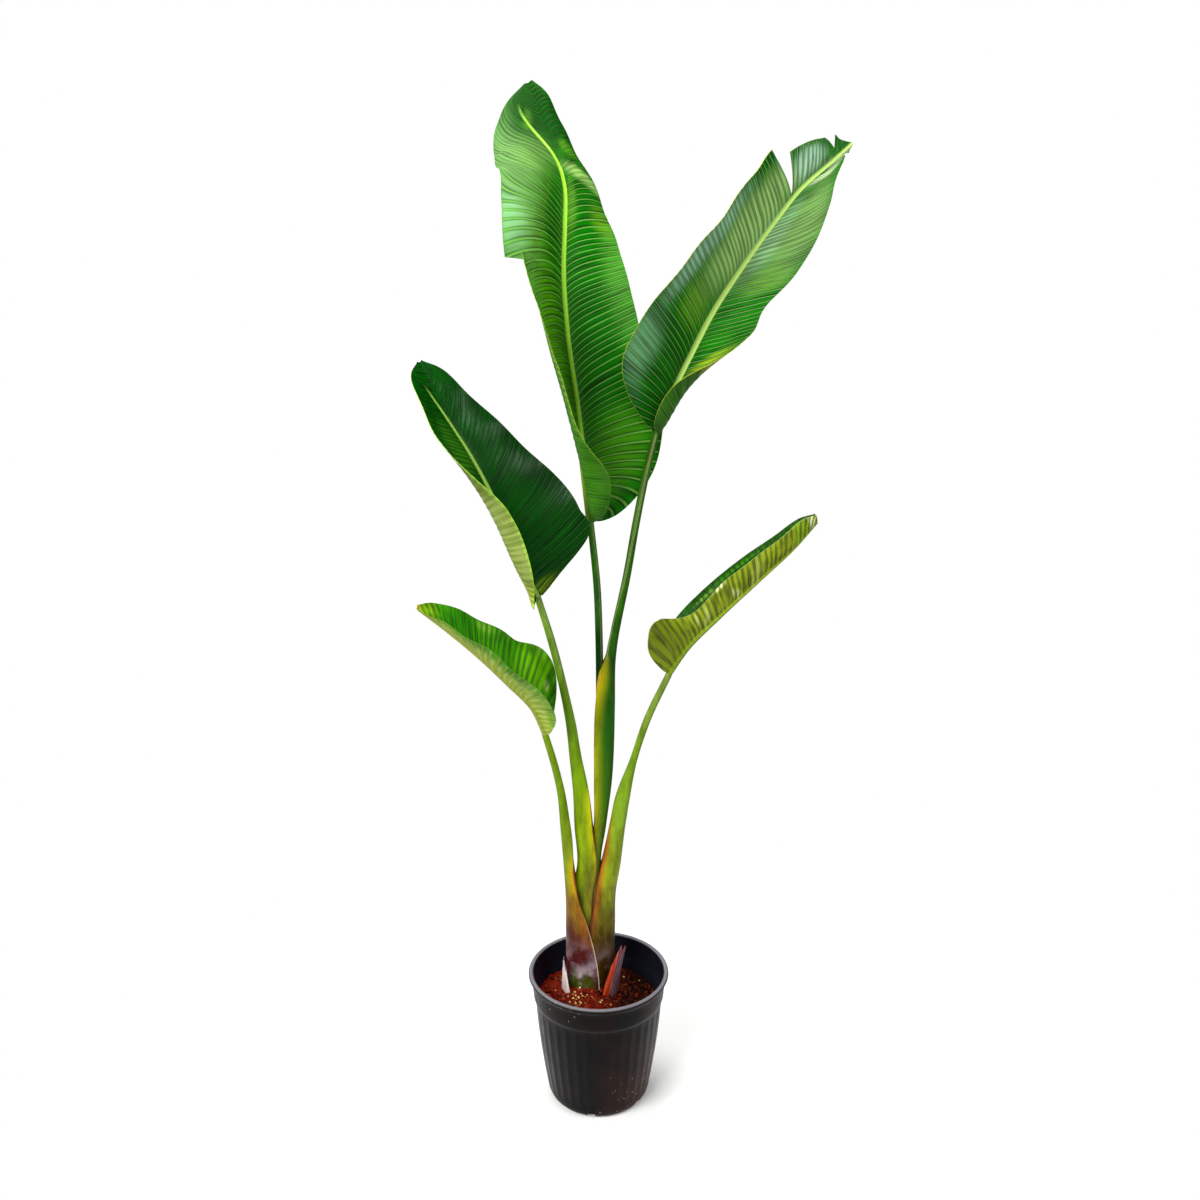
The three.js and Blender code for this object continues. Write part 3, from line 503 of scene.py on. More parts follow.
# Resin-coated slow-release fertiliser: waxy straw-coloured beads.
resin, node, shader = new_material("resin-coated fertiliser")
shade = node("Attribute", attribute_name="shade").outputs["Fac"]
tones = node("ValToRGB", {"Fac": shade}, stops=[(0.0, "#b98a3a"), (0.5, "#dcc374"), (1.0, "#efe6b8")])
plug(shader, {"Base Color": tones, "Roughness": 0.35})
finish_piece(fertiliser, [resin])

# The leaf stalks: each is a sheath below, whose two margins clasp the younger stalks inside it,
# and closes into a round petiole with a narrow groove on its upper side. A grid is rolled into
# the changing section along the stalk's path.
STALK_STATIONS = 150
OUTER_POINTS = 37
INNER_POINTS = 25
STALK_FOOT = 0.15
STALK_TOP = 0.0054
SEAT_GAP = 0.0003
MARGIN_WALL = 0.0007
ROUND_PETIOLE = (160, 0.003, 1)
FRAY_FROM = 0.75
FRAY_DEPTH = 0.02
# A row holds the centre, the half depth along the keel and the half width across it, the reach of
# the margins from the keel in degrees, the wall at the keel, the share of solid petiole, and the
# keel's bearing in degrees. A row of five is a round petiole: its centre, radius and bearing.
STALKS = {
    "leaf_1": [
        (-0.012, 0.02, 0.1503, 0.008, 127), (-0.01, 0.02, 0.3, 0.007, 127), (-0.01, 0.02, 0.41, 0.006, 127),
        (-0.002, 0.022, 0.48, 0.006, 127), (0.001, 0.026, 0.56, 0.0062, 127),
        (0.002, 0.032, 0.696, 0.0062, 127), (0.001, 0.038, 0.798, 0.0062, 127),
        (-0.002, 0.04, 0.882, 0.006, 127),
    ],
    "leaf_2": [
        (-0.009, 0.02, 0.1503, 0.0285, 0.0162, 112, 0.005, 0, 0),
        (-0.009, 0.02, 0.2, 0.0285, 0.0162, 112, 0.005, 0, 0),
        (-0.004, 0.02, 0.3, 0.025, 0.0116, 112, 0.0045, 0, 0),
        (-0.006, 0.02, 0.36, 0.019, 0.0106, 115, 0.004, 0, 0),
        (-0.008, 0.02, 0.41, 0.0125, 0.0096, 125, 0.003, 0, 0),
        (0.001, 0.022, 0.48, 0.012, 0.0104, 140, 0.003, 0, 0),
        (0.006, 0.0255, 0.56, 0.0168, 0.012, 145, 0.004, 0, 0),
        (0.0095, 0.0315, 0.69, 0.018, 0.0125, 144, 0.004, 0, 0),
        (0.012, 0.0345, 0.75, 0.016, 0.0124, 124, 0.004, 0, 0),
        (0.0185, 0.035, 0.775, 0.011, 0.0105, 112, 0.0036, 0.3, 4),
        (0.024, 0.033, 0.8, 0.0082, 0.008, 130, 0.003, 0.8, 10),
        (0.032, 0.028, 0.84, 0.007, 30), (0.044, 0.021, 0.9, 0.0064, 60), (0.06, 0.011, 0.998, 0.006, 90),
        (0.075, 0.006, 1.077, 0.0058, 95),
    ],
    "leaf_3": [
        (-0.016, 0.02, 0.1503, 0.0335, 0.0192, 112, 0.005, 0, 180),
        (-0.016, 0.02, 0.2, 0.0335, 0.0192, 112, 0.005, 0, 180),
        (-0.021, 0.02, 0.3, 0.0285, 0.014, 110, 0.0045, 0, 180),
        (-0.019, 0.02, 0.36, 0.026, 0.0134, 112, 0.004, 0, 180),
        (-0.0146, 0.02, 0.41, 0.022, 0.0142, 124, 0.004, 0, 180),
        (-0.022, 0.021, 0.48, 0.019, 0.0144, 130, 0.004, 0, 180),
        (-0.0285, 0.0205, 0.54, 0.0145, 0.011, 144, 0.004, 0.1, 180),
        (-0.038, 0.022, 0.6, 0.0105, 0.0078, 156, 0.003, 0.7, 178),
        (-0.046, 0.023, 0.66, 0.0084, 0.007, 160, 0.003, 1, 165),
        (-0.054, 0.024, 0.702, 0.0074, 0.0066, 160, 0.003, 1, 150),
        (-0.077, 0.022, 0.802, 0.0064, 0.0062, 160, 0.003, 1, 120),
    ],
    "leaf_4": [
        (-0.0145, 0.02, 0.1503, 0.0425, 0.026, 112, 0.005, 0, 180),
        (-0.0145, 0.02, 0.2, 0.0425, 0.026, 112, 0.005, 0, 180),
        (-0.026, 0.02, 0.3, 0.031, 0.0215, 106, 0.0047, 0, 180),
        (-0.037, 0.018, 0.36, 0.02, 0.0175, 95, 0.0042, 0, 180),
        (-0.0455, 0.015, 0.41, 0.014, 0.012, 103, 0.004, 0, 180),
        (-0.0545, 0.009, 0.48, 0.0096, 0.009, 140, 0.004, 0.6, 180),
        (-0.063, 0.008, 0.548, 0.0066, 180), (-0.075, 0.004, 0.603, 0.006, 180),
    ],
    "leaf_5": [
        (-0.01, 0.02, 0.1503, 0.0375, 0.0224, 112, 0.005, 0, 0),
        (-0.01, 0.02, 0.2, 0.0375, 0.0224, 112, 0.005, 0, 0),
        (0.0, 0.02, 0.3, 0.029, 0.0185, 120, 0.0046, 0, 0),
        (0.0065, 0.02, 0.36, 0.0235, 0.0164, 119, 0.004, 0, 0),
        (0.0195, 0.0195, 0.41, 0.018, 0.0146, 146, 0.0036, 0, 0),
        (0.0315, 0.02, 0.48, 0.014, 0.011, 156, 0.0034, 0.1, 0),
        (0.039, 0.019, 0.525, 0.013, 0.0095, 156, 0.0034, 0.3, 0),
        (0.058, 0.017, 0.597, 0.0064, 0), (0.08, 0.015, 0.668, 0.006, 0),
    ],
}


def smooth(keys, places):
    """A smooth curve through keys of (place, value, ...), read at many places."""
    keys = np.array(keys, float)
    at, values = keys[:, 0], keys[:, 1:]
    steps = np.diff(at)[:, None]
    rise = np.diff(values, axis=0) / steps
    near = steps[:-1] / (steps[:-1] + steps[1:])
    slope = np.vstack([rise[:1], rise[:-1] * (1 - near) + rise[1:] * near, rise[-1:]])
    places = np.clip(np.asarray(places, float), at[0], at[-1])
    k = np.clip(np.searchsorted(at, places, side="left") - 1, 0, len(at) - 2)
    u = ((places - at[k]) / steps[k, 0])[:, None]
    start, end = slope[k] * steps[k], slope[k + 1] * steps[k]
    change = values[k + 1] - values[k]
    curve = values[k] + u * start + u**2 * (3 * change - 2 * start - end)
    curve += u**3 * (start + end - 2 * change)
    return curve[:, 0] if curve.shape[1] == 1 else curve


def along_path(points):
    """Keys of a path by the share of its length along straight lines, with that length."""
    points = np.array(points, float)
    gone = np.concatenate([[0], np.cumsum(np.linalg.norm(np.diff(points[:, :3], axis=0), axis=1))])
    return np.column_stack([gone / gone[-1], points]), gone[-1]


def unit(vectors):
    """Vectors of length one."""
    return vectors / np.linalg.norm(vectors, axis=-1, keepdims=True)


def leaf_frames(leaf, t):
    """Points on a midrib, their direction, the upper face's normal and the way to the right."""
    path, length = along_path(leaf["midrib"])
    along = unit(smooth(path, np.minimum(1, t + 0.01)) - smooth(path, np.maximum(0, t - 0.01)))
    normal = smooth(leaf["facing"], t)
    normal = unit(normal - along * np.sum(normal * along, axis=1, keepdims=True))
    return smooth(path, t), along, normal, np.cross(along, normal), length


# The form of each leaf beyond its stalk, where the stalk's end is seated: the midrib's path, where
# its upper face looks, its keel and its half width, all by the share of its length. Each half has
# the slant of its margin, its width, its rise from the midrib, how much more it curls up towards
# the margin, and its wave; where it is torn, width and curl have a list for each part. Turns are
# in degrees. A tear is side, place, root share and gap.
LEAVES = {
    "leaf_1": {
        "midrib": [
            (-0.01, 0.04, 0.994), (-0.018, 0.036, 1.06), (-0.033, 0.028, 1.185), (-0.048, 0.026, 1.29),
            (-0.055, 0.032, 1.378), (-0.053, 0.046, 1.446), (-0.051, 0.064, 1.505), (-0.062, 0.088, 1.556),
            (-0.086, 0.125, 1.613), (-0.112, 0.172, 1.684),
        ],
        "facing": [(0, 0.6, -0.8, 0), (0.45, 0.5, -0.85, 0), (0.7, 0.1, -1, 0.1), (1, -0.5, -0.8, 0.4)],
        "keel": [(0, 0.01), (0.5, 0.006), (1, 0.0014)], "rib": [(0, 0.0054), (0.5, 0.004), (1, 0.0008)],
        "left": {
            "sweep": [(0, -20), (0.12, 4), (0.45, 14), (0.62, 12), (0.8, 14), (1, 24)],
            "width": [
                [(0, 0.0065), (0.03, 0.047), (0.1, 0.086), (0.25, 0.104), (0.5, 0.111)],
                [(0.5, 0.11), (0.58, 0.112), (0.75, 0.106), (0.9, 0.071), (0.97, 0.036), (1, 0.008)],
            ],
            "rise": [
                (0, 64), (0.1, 50), (0.2, 38), (0.35, 28), (0.52, 36), (0.65, 36), (0.85, 20), (1, 14),
            ],
            "curl": [
                [(0, 160), (0.08, 128), (0.15, 54), (0.3, 44), (0.4, 28), (0.52, -6)],
                [(0.44, -60), (0.65, -72), (0.85, -40), (1, -20)],
            ],
            "power": 0.8, "wave": (0.0016, 6, 0.4),
        },
        "right": {
            "sweep": [(0, -30), (0.05, -4), (0.12, 14), (0.5, 22), (1, 30)],
            "width": [[
                (0, 0.0065), (0.03, 0.05), (0.07, 0.098), (0.13, 0.128), (0.25, 0.118), (0.42, 0.103),
                (0.56, 0.082), (0.64, 0.068), (0.72, 0.046), (0.85, 0.033), (0.94, 0.028), (1, 0.008),
            ]],
            "rise": [(0, 36), (0.5, 34), (0.64, 22), (0.8, 10), (1, 0)],
            "curl": [[(0, 10), (0.45, 0), (0.62, -60), (0.8, -90), (1, -70)]], "power": 0.9,
            "wave": (0.0024, 7, 2.1),
        },
        "tears": [("left", 0.5, 0.33, 0.001)],
    },
    "leaf_2": {
        "midrib": [
            (0.09, 0.004, 1.136), (0.112, -0.006, 1.195), (0.134, -0.012, 1.241), (0.174, -0.018, 1.318),
            (0.212, -0.02, 1.375), (0.258, -0.02, 1.439), (0.293, -0.016, 1.483), (0.34, -0.006, 1.524),
            (0.37, 0.006, 1.551),
        ],
        "facing": [(0, 0.1, -1, 0), (0.5, 0.1, -1, 0), (1, -0.1, -1, 0.2)],
        "keel": [(0, 0.009), (0.5, 0.0055), (1, 0.0013)], "rib": [(0, 0.005), (0.5, 0.0038), (1, 0.0008)],
        "left": {
            "sweep": [(0, 6), (0.12, 22), (0.3, 22), (0.5, 20), (1, 30)],
            "width": [
                [
                    (0, 0.006), (0.03, 0.046), (0.08, 0.096), (0.16, 0.113), (0.3, 0.106), (0.45, 0.097),
                    (0.6, 0.087), (0.76, 0.077),
                ],
                [(0.76, 0.05), (0.84, 0.043), (0.93, 0.026), (1, 0.002)],
            ],
            "rise": [(0, 26), (0.5, 38), (1, 30)],
            "curl": [[(0, 0), (0.5, 10), (0.8, 0)], [(0.6, 0), (1, -20)]], "power": 1.5,
            "wave": (0.0018, 6, 1.0),
        },
        "right": {
            "sweep": [(0, -20), (0.12, 0), (0.3, 14), (0.5, 20), (1, 30)],
            "width": [[
                (0, 0.006), (0.04, 0.04), (0.14, 0.08), (0.25, 0.092), (0.32, 0.082), (0.41, 0.065),
                (0.55, 0.073), (0.75, 0.053), (0.9, 0.018), (1, 0.002),
            ]],
            "rise": [(0, 62), (0.2, 52), (0.35, 40), (0.6, 38), (1, 30)],
            "curl": [[(0, 150), (0.12, 120), (0.24, 60), (0.34, 8), (1, -10)]], "power": 1.2,
            "wave": (0.002, 6, 2.6),
        },
        "tears": [("left", 0.76, 0.05, 0.034)],
    },
    "leaf_3": {
        "midrib": [
            (-0.097, 0.02, 0.874), (-0.121, 0.0, 0.933), (-0.152, -0.015, 1.015), (-0.195, -0.025, 1.107),
            (-0.238, -0.025, 1.181), (-0.26, -0.02, 1.225), (-0.268, -0.015, 1.24),
        ],
        "facing": [(0, 0.25, -0.95, 0.2), (0.5, 0.3, -0.95, 0.2), (1, 0.2, -1, 0.2)],
        "keel": [(0, 0.009), (0.5, 0.0055), (1, 0.0013)], "rib": [(0, 0.005), (0.5, 0.0036), (1, 0.0008)],
        "left": {
            "sweep": [(0, -10), (0.08, -2), (0.2, 8), (0.5, 20), (1, 30)],
            "width": [[
                (0, 0.006), (0.02, 0.042), (0.06, 0.048), (0.15, 0.07), (0.35, 0.09), (0.6, 0.086),
                (0.85, 0.042), (0.95, 0.02), (1, 0.004),
            ]],
            "rise": [(0, 42), (0.3, 40), (0.6, 42), (1, 20)],
            "curl": [[(0, 30), (0.1, 84), (0.35, 96), (0.55, 40), (0.85, 34), (1, 0)]], "power": 1.0,
            "wave": (0.0016, 4, 0.6),
        },
        "right": {
            "sweep": [(0, 0), (0.15, 10), (0.5, 20), (1, 30)],
            "width": [[
                (0, 0.006), (0.05, 0.046), (0.12, 0.114), (0.22, 0.116), (0.5, 0.076), (0.75, 0.045),
                (0.92, 0.024), (1, 0.004),
            ]],
            "rise": [(0, 18), (0.5, 14), (1, 20)], "curl": [[(0, 10), (0.5, -10), (1, -20)]], "power": 1.6,
            "wave": (0.002, 5, 1.4),
        },
        "tears": [],
    },
    "leaf_4": {
        "midrib": [
            (-0.084, 0.0, 0.651), (-0.103, -0.013, 0.698), (-0.142, -0.029, 0.745), (-0.187, -0.042, 0.793),
            (-0.233, -0.05, 0.834), (-0.278, -0.055, 0.87),
        ],
        "facing": [(0, 0.8, -0.13, 0.6), (0.5, 0.72, -0.13, 0.68), (1, 0.5, -0.1, 0.85)],
        "keel": [(0, 0.008), (0.5, 0.005), (1, 0.0012)], "rib": [(0, 0.0046), (0.5, 0.0032), (1, 0.0008)],
        "left": {
            "sweep": [(0, 0), (0.2, 8), (0.6, 20), (1, 30)],
            "width": [[
                (0, 0.0056), (0.05, 0.026), (0.2, 0.076), (0.45, 0.08), (0.75, 0.052), (0.93, 0.022),
                (1, 0.005),
            ]],
            "rise": [(0, 34), (0.5, 32), (1, 26)], "curl": [[(0, 14), (0.5, 12), (1, 0)]], "power": 1.5,
            "wave": (0.0025, 4, 0.2),
        },
        "right": {
            "sweep": [(0, 0), (0.2, 8), (0.6, 20), (1, 30)],
            "width": [[
                (0, 0.0056), (0.05, 0.032), (0.18, 0.088), (0.42, 0.076), (0.7, 0.057), (0.9, 0.034),
                (1, 0.008),
            ]],
            "rise": [(0, 30), (0.5, 22), (1, 18)], "curl": [[(0, 14), (0.5, 6), (1, 0)]], "power": 1.5,
            "wave": (0.003, 4, 1.7),
        },
        "tears": [],
    },
    "leaf_5": {
        "midrib": [
            (0.112, 0.01, 0.751), (0.142, 0.0, 0.798), (0.187, -0.01, 0.847), (0.251, -0.018, 0.91),
            (0.304, -0.022, 0.961), (0.337, -0.025, 1.0),
        ],
        "facing": [(0, -0.78, -0.13, 0.6), (0.5, -0.72, -0.13, 0.66), (1, -0.7, -0.1, 0.66)],
        "keel": [(0, 0.008), (0.5, 0.005), (1, 0.0012)], "rib": [(0, 0.0046), (0.5, 0.0032), (1, 0.0008)],
        "left": {
            "sweep": [(0, -20), (0.2, 4), (0.6, 20), (1, 30)],
            "width": [[
                (0, 0.0056), (0.05, 0.036), (0.14, 0.046), (0.26, 0.05), (0.5, 0.049), (0.75, 0.04),
                (0.93, 0.028), (1, 0.014),
            ]],
            "rise": [(0, 36), (0.3, 40), (1, 30)], "curl": [[(0, 0), (0.25, 20), (0.5, 30), (1, 20)]],
            "power": 1.5, "wave": (0.0025, 4, 0.9),
        },
        "right": {
            "sweep": [(0, 10), (0.08, 28), (0.2, 18), (0.6, 20), (1, 30)],
            "width": [[
                (0, 0.0056), (0.02, 0.054), (0.06, 0.092), (0.12, 0.088), (0.22, 0.05), (0.5, 0.043),
                (0.75, 0.036), (0.93, 0.028), (1, 0.014),
            ]],
            "rise": [(0, 62), (0.3, 64), (0.6, 58), (1, 50)],
            "curl": [[(0, -16), (0.12, 0), (0.25, 40), (0.5, 44), (1, 30)]], "power": 1.5,
            "wave": (0.0025, 4, 2.2),
        },
        "tears": [],
    },
}


def stalk_shape(rows, end=None, fray=0):
    """How a stalk's or an old sheath's grid is rolled; end is the leaf's seat, fray a torn top."""

    def shape(stations, sides):
        full = [row if row[5:] else (*row[:4], row[3], *ROUND_PETIOLE, row[4]) for row in rows]
        path, length = along_path(full)
        t = np.linspace(0, 1, stations + 1)
        row = smooth(path, t)
        ahead = smooth(path, np.minimum(1, t + 0.01)) - smooth(path, np.maximum(0, t - 0.01))
        along = unit(ahead[:, :3])
        bearing = np.radians(row[:, 8])
        keel = np.stack([np.cos(bearing), np.sin(bearing), np.zeros(len(t))], -1)
        along[0] = (0, 0, 1)
        if end:
            along[-1] = end[0]
            keel[-1] = -end[1]
        keel = unit(keel - along * np.sum(keel * along, axis=1, keepdims=True))
        across = np.cross(along, keel)
        deep, wide, reach, wall, petiole = (row[:, c][:, None] for c in (3, 4, 5, 6, 7))
        outer = np.radians(reach * np.linspace(-1, 1, OUTER_POINTS))
        share = np.linspace(1, 0, INNER_POINTS)
        inner = np.radians(reach * (2 * share - 1))
        thick = MARGIN_WALL + (wall - MARGIN_WALL) * np.sin(math.pi * share) ** 0.8
        side_thick = np.minimum(thick, MARGIN_WALL + 0.0008)
        sheath = [(deep - thick) * np.cos(inner), (wide - side_thick) * np.sin(inner)]
        groove = [deep * (0.25 * np.cos(inner) - 0.7), 0.2 * wide * np.sin(inner)]
        section = [
            np.hstack([arc, hollow * (1 - petiole) + slit * petiole])
            for arc, hollow, slit in zip([deep * np.cos(outer), wide * np.sin(outer)], sheath, groove)
        ]
        rings = row[:, None, :3] + section[0][..., None] * keel[:, None]
        rings = rings + section[1][..., None] * across[:, None]
        size = (deep + wide) / 2
        turned = np.hstack([outer, inner])
        margin = (np.radians(reach) - np.abs(turned)) * size + petiole * 0.05
        if fray:
            ragged = np.array([noise.noise(Vector((a * 3, fray, 1))) for a in turned[-1]])
            pull = np.clip((t - FRAY_FROM) / (1 - FRAY_FROM), 0, 1)[:, None] * ragged[None] * FRAY_DEPTH
            rings = rings + along[:, None] * pull[..., None]
        marks = {"margin": margin, "inner": np.hstack([np.zeros_like(outer), np.ones_like(inner)])}
        strip = np.empty((stations + 1, sides + 1, 2))
        strip[..., 0] = t[:, None] * length
        strip[:, :sides, 1] = turned * size
        strip[:, sides, 1] = strip[:, sides - 1, 1]
        return rings, marks, strip

    return shape


def stalk_skin(title, body, band, band_width, edge, bloom):
    """A stalk's waxed skin: its colour ripens with height, in the body, in the band by its margins
    and at the very edge, over faint strands, with a chalky bloom low down."""
    material, node, shader = new_material(title)
    place = node("TexCoord").outputs["Object"]
    apart = node("SeparateXYZ", {"Vector": place})
    height = node("Math", {0: apart.outputs["Z"], 1: STALK_FOOT}, operation="SUBTRACT")
    uneven_at = node("Mapping", {"Vector": place, "Scale": (60, 60, 22)})
    uneven = node("TexNoise", {"Vector": uneven_at, "Scale": 1, "Detail": 4, "Roughness": 0.6})
    shifted = node("MapRange", {"Value": uneven, "From": (0.3, 0.7), "To": (-0.025, 0.025)})
    ripening = node("Math", {0: height, 1: shifted}, operation="ADD")
    margin = node("Attribute", attribute_name="margin").outputs["Fac"]
    inner = node("Attribute", attribute_name="inner").outputs["Fac"]
    body_colour = node("ValToRGB", {"Fac": ripening}, stops=body)
    band_colour = node("ValToRGB", {"Fac": ripening}, stops=band)
    edge_colour = node("ValToRGB", {"Fac": height}, stops=edge)
    uneven_margin = node("Math", {0: uneven, 1: band_width * 0.5}, operation="MULTIPLY")
    from_margin = node("Math", {0: margin, 1: uneven_margin}, operation="ADD")
    band_share = node(
        "MapRange", {"Value": from_margin, "From": (band_width * 1.5, band_width * 0.2)},
        interpolation_type="SMOOTHSTEP"
    )
    banded = node("Mix", {"Factor": band_share, "A": body_colour, "B": band_colour}, data_type="RGBA")
    edge_share = node(
        "MapRange", {"Value": margin, "From": (0.0021, 0.0008)}, interpolation_type="SMOOTHSTEP"
    )
    edged = node("Mix", {"Factor": edge_share, "A": banded, "B": edge_colour}, data_type="RGBA")
    strip = node("UVMap", uv_map="UVMap")
    # The strands under the skin lie about 1.2 mm apart.
    strands_at = node("Mapping", {"Vector": strip, "Scale": (7, 830, 1)})
    strands = node("TexNoise", {"Vector": strands_at, "Scale": 1, "Detail": 4, "Roughness": 0.6})
    strand_shade = node("MapRange", {"Value": strands, "From": (0.3, 0.7), "To": (0.78, 1.16)})
    mottle = node("MapRange", {"Value": uneven, "From": (0.32, 0.6), "To": (0.6, 1.1)})
    shade = node("Math", {0: strand_shade, 1: mottle}, operation="MULTIPLY")
    streaked = node("Mix", {"Factor": 1.0, "A": edged, "B": shade}, data_type="RGBA", blend_type="MULTIPLY")
    inner_share = node("Math", {0: inner, 1: 0.35}, operation="MULTIPLY")
    lined = node("Mix", {"Factor": inner_share, "A": streaked, "B": "#c3cf86"}, data_type="RGBA")
    wax = node("TexNoise", {"Vector": place, "Scale": 34, "Detail": 5, "Roughness": 0.6})
    wax_patch = node("MapRange", {"Value": wax, "From": (0.44, 0.66)})
    wax_low = node("MapRange", {"Value": height, "From": (0.14, 0.02), "To": (0, bloom)})
    wax_foot = node("MapRange", {"Value": ripening, "From": (0.05, 0.07)})
    wax_where = node("Math", {0: wax_low, 1: wax_foot}, operation="MULTIPLY")
    wax_share = node("Math", {0: wax_patch, 1: wax_where}, operation="MULTIPLY")
    waxed = node("Mix", {"Factor": wax_share, "A": lined, "B": "#d6c6cc"}, data_type="RGBA")
    gloss = node("MapRange", {"Value": wax, "To": (0.2, 0.5)})
    ribs = node("Bump", {"Height": strands, "Strength": 0.4, "Distance": 0.0005})
    plug(
        shader,
        {"Base Color": waxed, "Roughness": gloss, "Normal": ribs, "IOR": 1.45, "Specular IOR Level": 0.3}
    )
    return material


# The skins of the stalks: the stops of the body, of the band along its margins, the band's width,
# the stops of the very edge, and the wax. A stop is the height over the foot and the colour there.
STALK_SKINS = {
    "leaf_1": (
        [(0.0, "#324d0e"), (0.4, "#063402"), (0.64, "#033002"), (0.8, "#2a6a04")],
        [(0.0, "#324d0e"), (0.4, "#063402")], 0.004, [(0.0, "#324d0e"), (0.4, "#063402")], 0.0,
    ),
    "leaf_2": (
        [
            (0.0, "#3b2c04"), (0.16, "#4a4602"), (0.3, "#3e6602"), (0.5, "#1c5402"), (0.7, "#2a6000"),
            (0.92, "#2c5400"),
        ],
        [
            (0.0, "#5a320e"), (0.2, "#6c5c02"), (0.36, "#888c00"), (0.5, "#9aa400"), (0.6, "#a89c00"),
            (0.635, "#d0b830"),
        ],
        0.016, [(0.0, "#4c240e"), (0.3, "#816006"), (0.6, "#b69922")], 0.2,
    ),
    "leaf_3": (
        [
            (0.0, "#2c1e04"), (0.12, "#4c4c02"), (0.22, "#6c7c02"), (0.3, "#7c9402"), (0.42, "#6c9004"),
            (0.56, "#5c8410"), (0.68, "#6c9028"),
        ],
        [
            (0.0, "#3e240d"), (0.14, "#5c5402"), (0.26, "#949006"), (0.34, "#c2c400"), (0.43, "#d0cc00"),
            (0.5, "#84980c"),
        ],
        0.012, [(0.0, "#3e1c0d"), (0.25, "#69401a"), (0.44, "#74380c"), (0.5, "#867722")], 0.25,
    ),
    "leaf_4": (
        [
            (0.0, "#384402"), (0.055, "#3c4804"), (0.072, "#481626"), (0.13, "#58240c"), (0.19, "#846000"),
            (0.25, "#7c8a00"), (0.36, "#648402"), (0.48, "#6c8c0c"),
        ],
        [
            (0.0, "#3e1623"), (0.11, "#501c20"), (0.16, "#8c500c"), (0.22, "#b48c00"), (0.3, "#aca400"),
            (0.34, "#84980c"),
        ],
        0.013, [(0.0, "#c1b8a0"), (0.1, "#b9a58d"), (0.18, "#864d20"), (0.3, "#944a16")], 0.75,
    ),
    "leaf_5": (
        [
            (0.0, "#2c1c02"), (0.11, "#442c02"), (0.17, "#605c02"), (0.24, "#84940a"), (0.34, "#7c9c20"),
            (0.46, "#6c9010"), (0.62, "#74883a"),
        ],
        [
            (0.0, "#361802"), (0.12, "#542808"), (0.21, "#90480c"), (0.3, "#a4480c"), (0.38, "#b88a06"),
            (0.42, "#8c980c"),
        ],
        0.013, [(0.0, "#32160a"), (0.2, "#69260d"), (0.3, "#86320e"), (0.4, "#af8a13")], 0.3,
    ),
}
for name, rows in STALKS.items():
    point, along, normal, _, _ = leaf_frames(LEAVES[name], np.zeros(1))
    seat = point[0] - 0.5 * LEAVES[name]["keel"][0][1] * normal[0] - SEAT_GAP * along[0]
    shape = stalk_shape(rows + [(*seat, STALK_TOP, rows[-1][-1])], end=(along[0], normal[0]))
    stalk = ringed_grid(f"{name}_stem", STALK_STATIONS, OUTER_POINTS + INNER_POINTS, shape)
    skin = stalk_skin(f"waxy stalk skin, {name.replace('_', ' ')}", *STALK_SKINS[name])
    finish_piece(stalk, [skin], [f"{name}_stalk"])

# The leaf blades: thin glossy sheets of parallel veins that leave a thick midrib on a slant, split
# where wind or handling has torn them along a vein. A grid is torn, then bent over the midrib and
# pleated along the veins, and gets its thickness and the keel under the midrib last.
BLADE_THICKNESS = 0.0008
RIB_SHARES = np.array([0.35, 0.7, 1.0])
SHEET_COLUMNS = 21
FINE_STEPS = 5
COLUMNS = len(RIB_SHARES) + SHEET_COLUMNS
ON_RIB = np.concatenate([[0], RIB_SHARES, np.ones(SHEET_COLUMNS)])
SHARES = np.concatenate([np.zeros(COLUMNS - SHEET_COLUMNS), np.arange(SHEET_COLUMNS + 1) / SHEET_COLUMNS])
SIGNS = {"left": -1, "right": 1}
CROWDING = 0.07
TEAR_LENGTH = 0.12
NICK_LENGTH = 0.03
VEIN_HEIGHTS = (0.55, 1.3)
MOST_VEINS = 400
VEIN_SLIP = 0.012
VEIN_SLIP_OVER = 0.016
PLEAT_HEIGHT = 0.0010


def fading(t):
    """What fades the waves and the veins' slip out towards both ends of a blade."""
    return np.sqrt(np.sin(math.pi * t))[:, None]


def arched(leaf, half, piece, t, start):
    """Across one half, at each station: how far out and up the columns lie and how they turn."""
    rib = smooth(leaf["rib"], t)
    sheet = np.maximum(smooth(half["width"][piece], t) - rib, 0.001)
    rise = np.radians(smooth(half["rise"], t))
    curl = np.radians(smooth(half["curl"][piece], t))

    def bend(share):
        return rise[:, None] + curl[:, None] * np.clip((share - start) / (1 - start), 0, 1) ** half["power"]

    steps = SHEET_COLUMNS * FINE_STEPS
    angle = bend((np.arange(steps) + 0.5) / steps)
    step = sheet[:, None] / steps
    turn = rise[:, None] * RIB_SHARES
    rib_out = rib[:, None] * RIB_SHARES * np.sinc(turn / math.pi)
    rib_up = rib[:, None] * RIB_SHARES * turn / 2 * np.sinc(turn / 2 / math.pi) ** 2
    out = rib_out[:, -1:] + np.cumsum(np.cos(angle) * step, axis=1)[:, FINE_STEPS - 1 :: FINE_STEPS]
    up = rib_up[:, -1:] + np.cumsum(np.sin(angle) * step, axis=1)[:, FINE_STEPS - 1 :: FINE_STEPS]
    middle = np.zeros((len(t), 1))
    turns = np.hstack([middle, turn, bend(SHARES[-SHEET_COLUMNS:])])
    return np.hstack([middle, rib_out, out]), np.hstack([middle, rib_up, up]), turns, rib, sheet


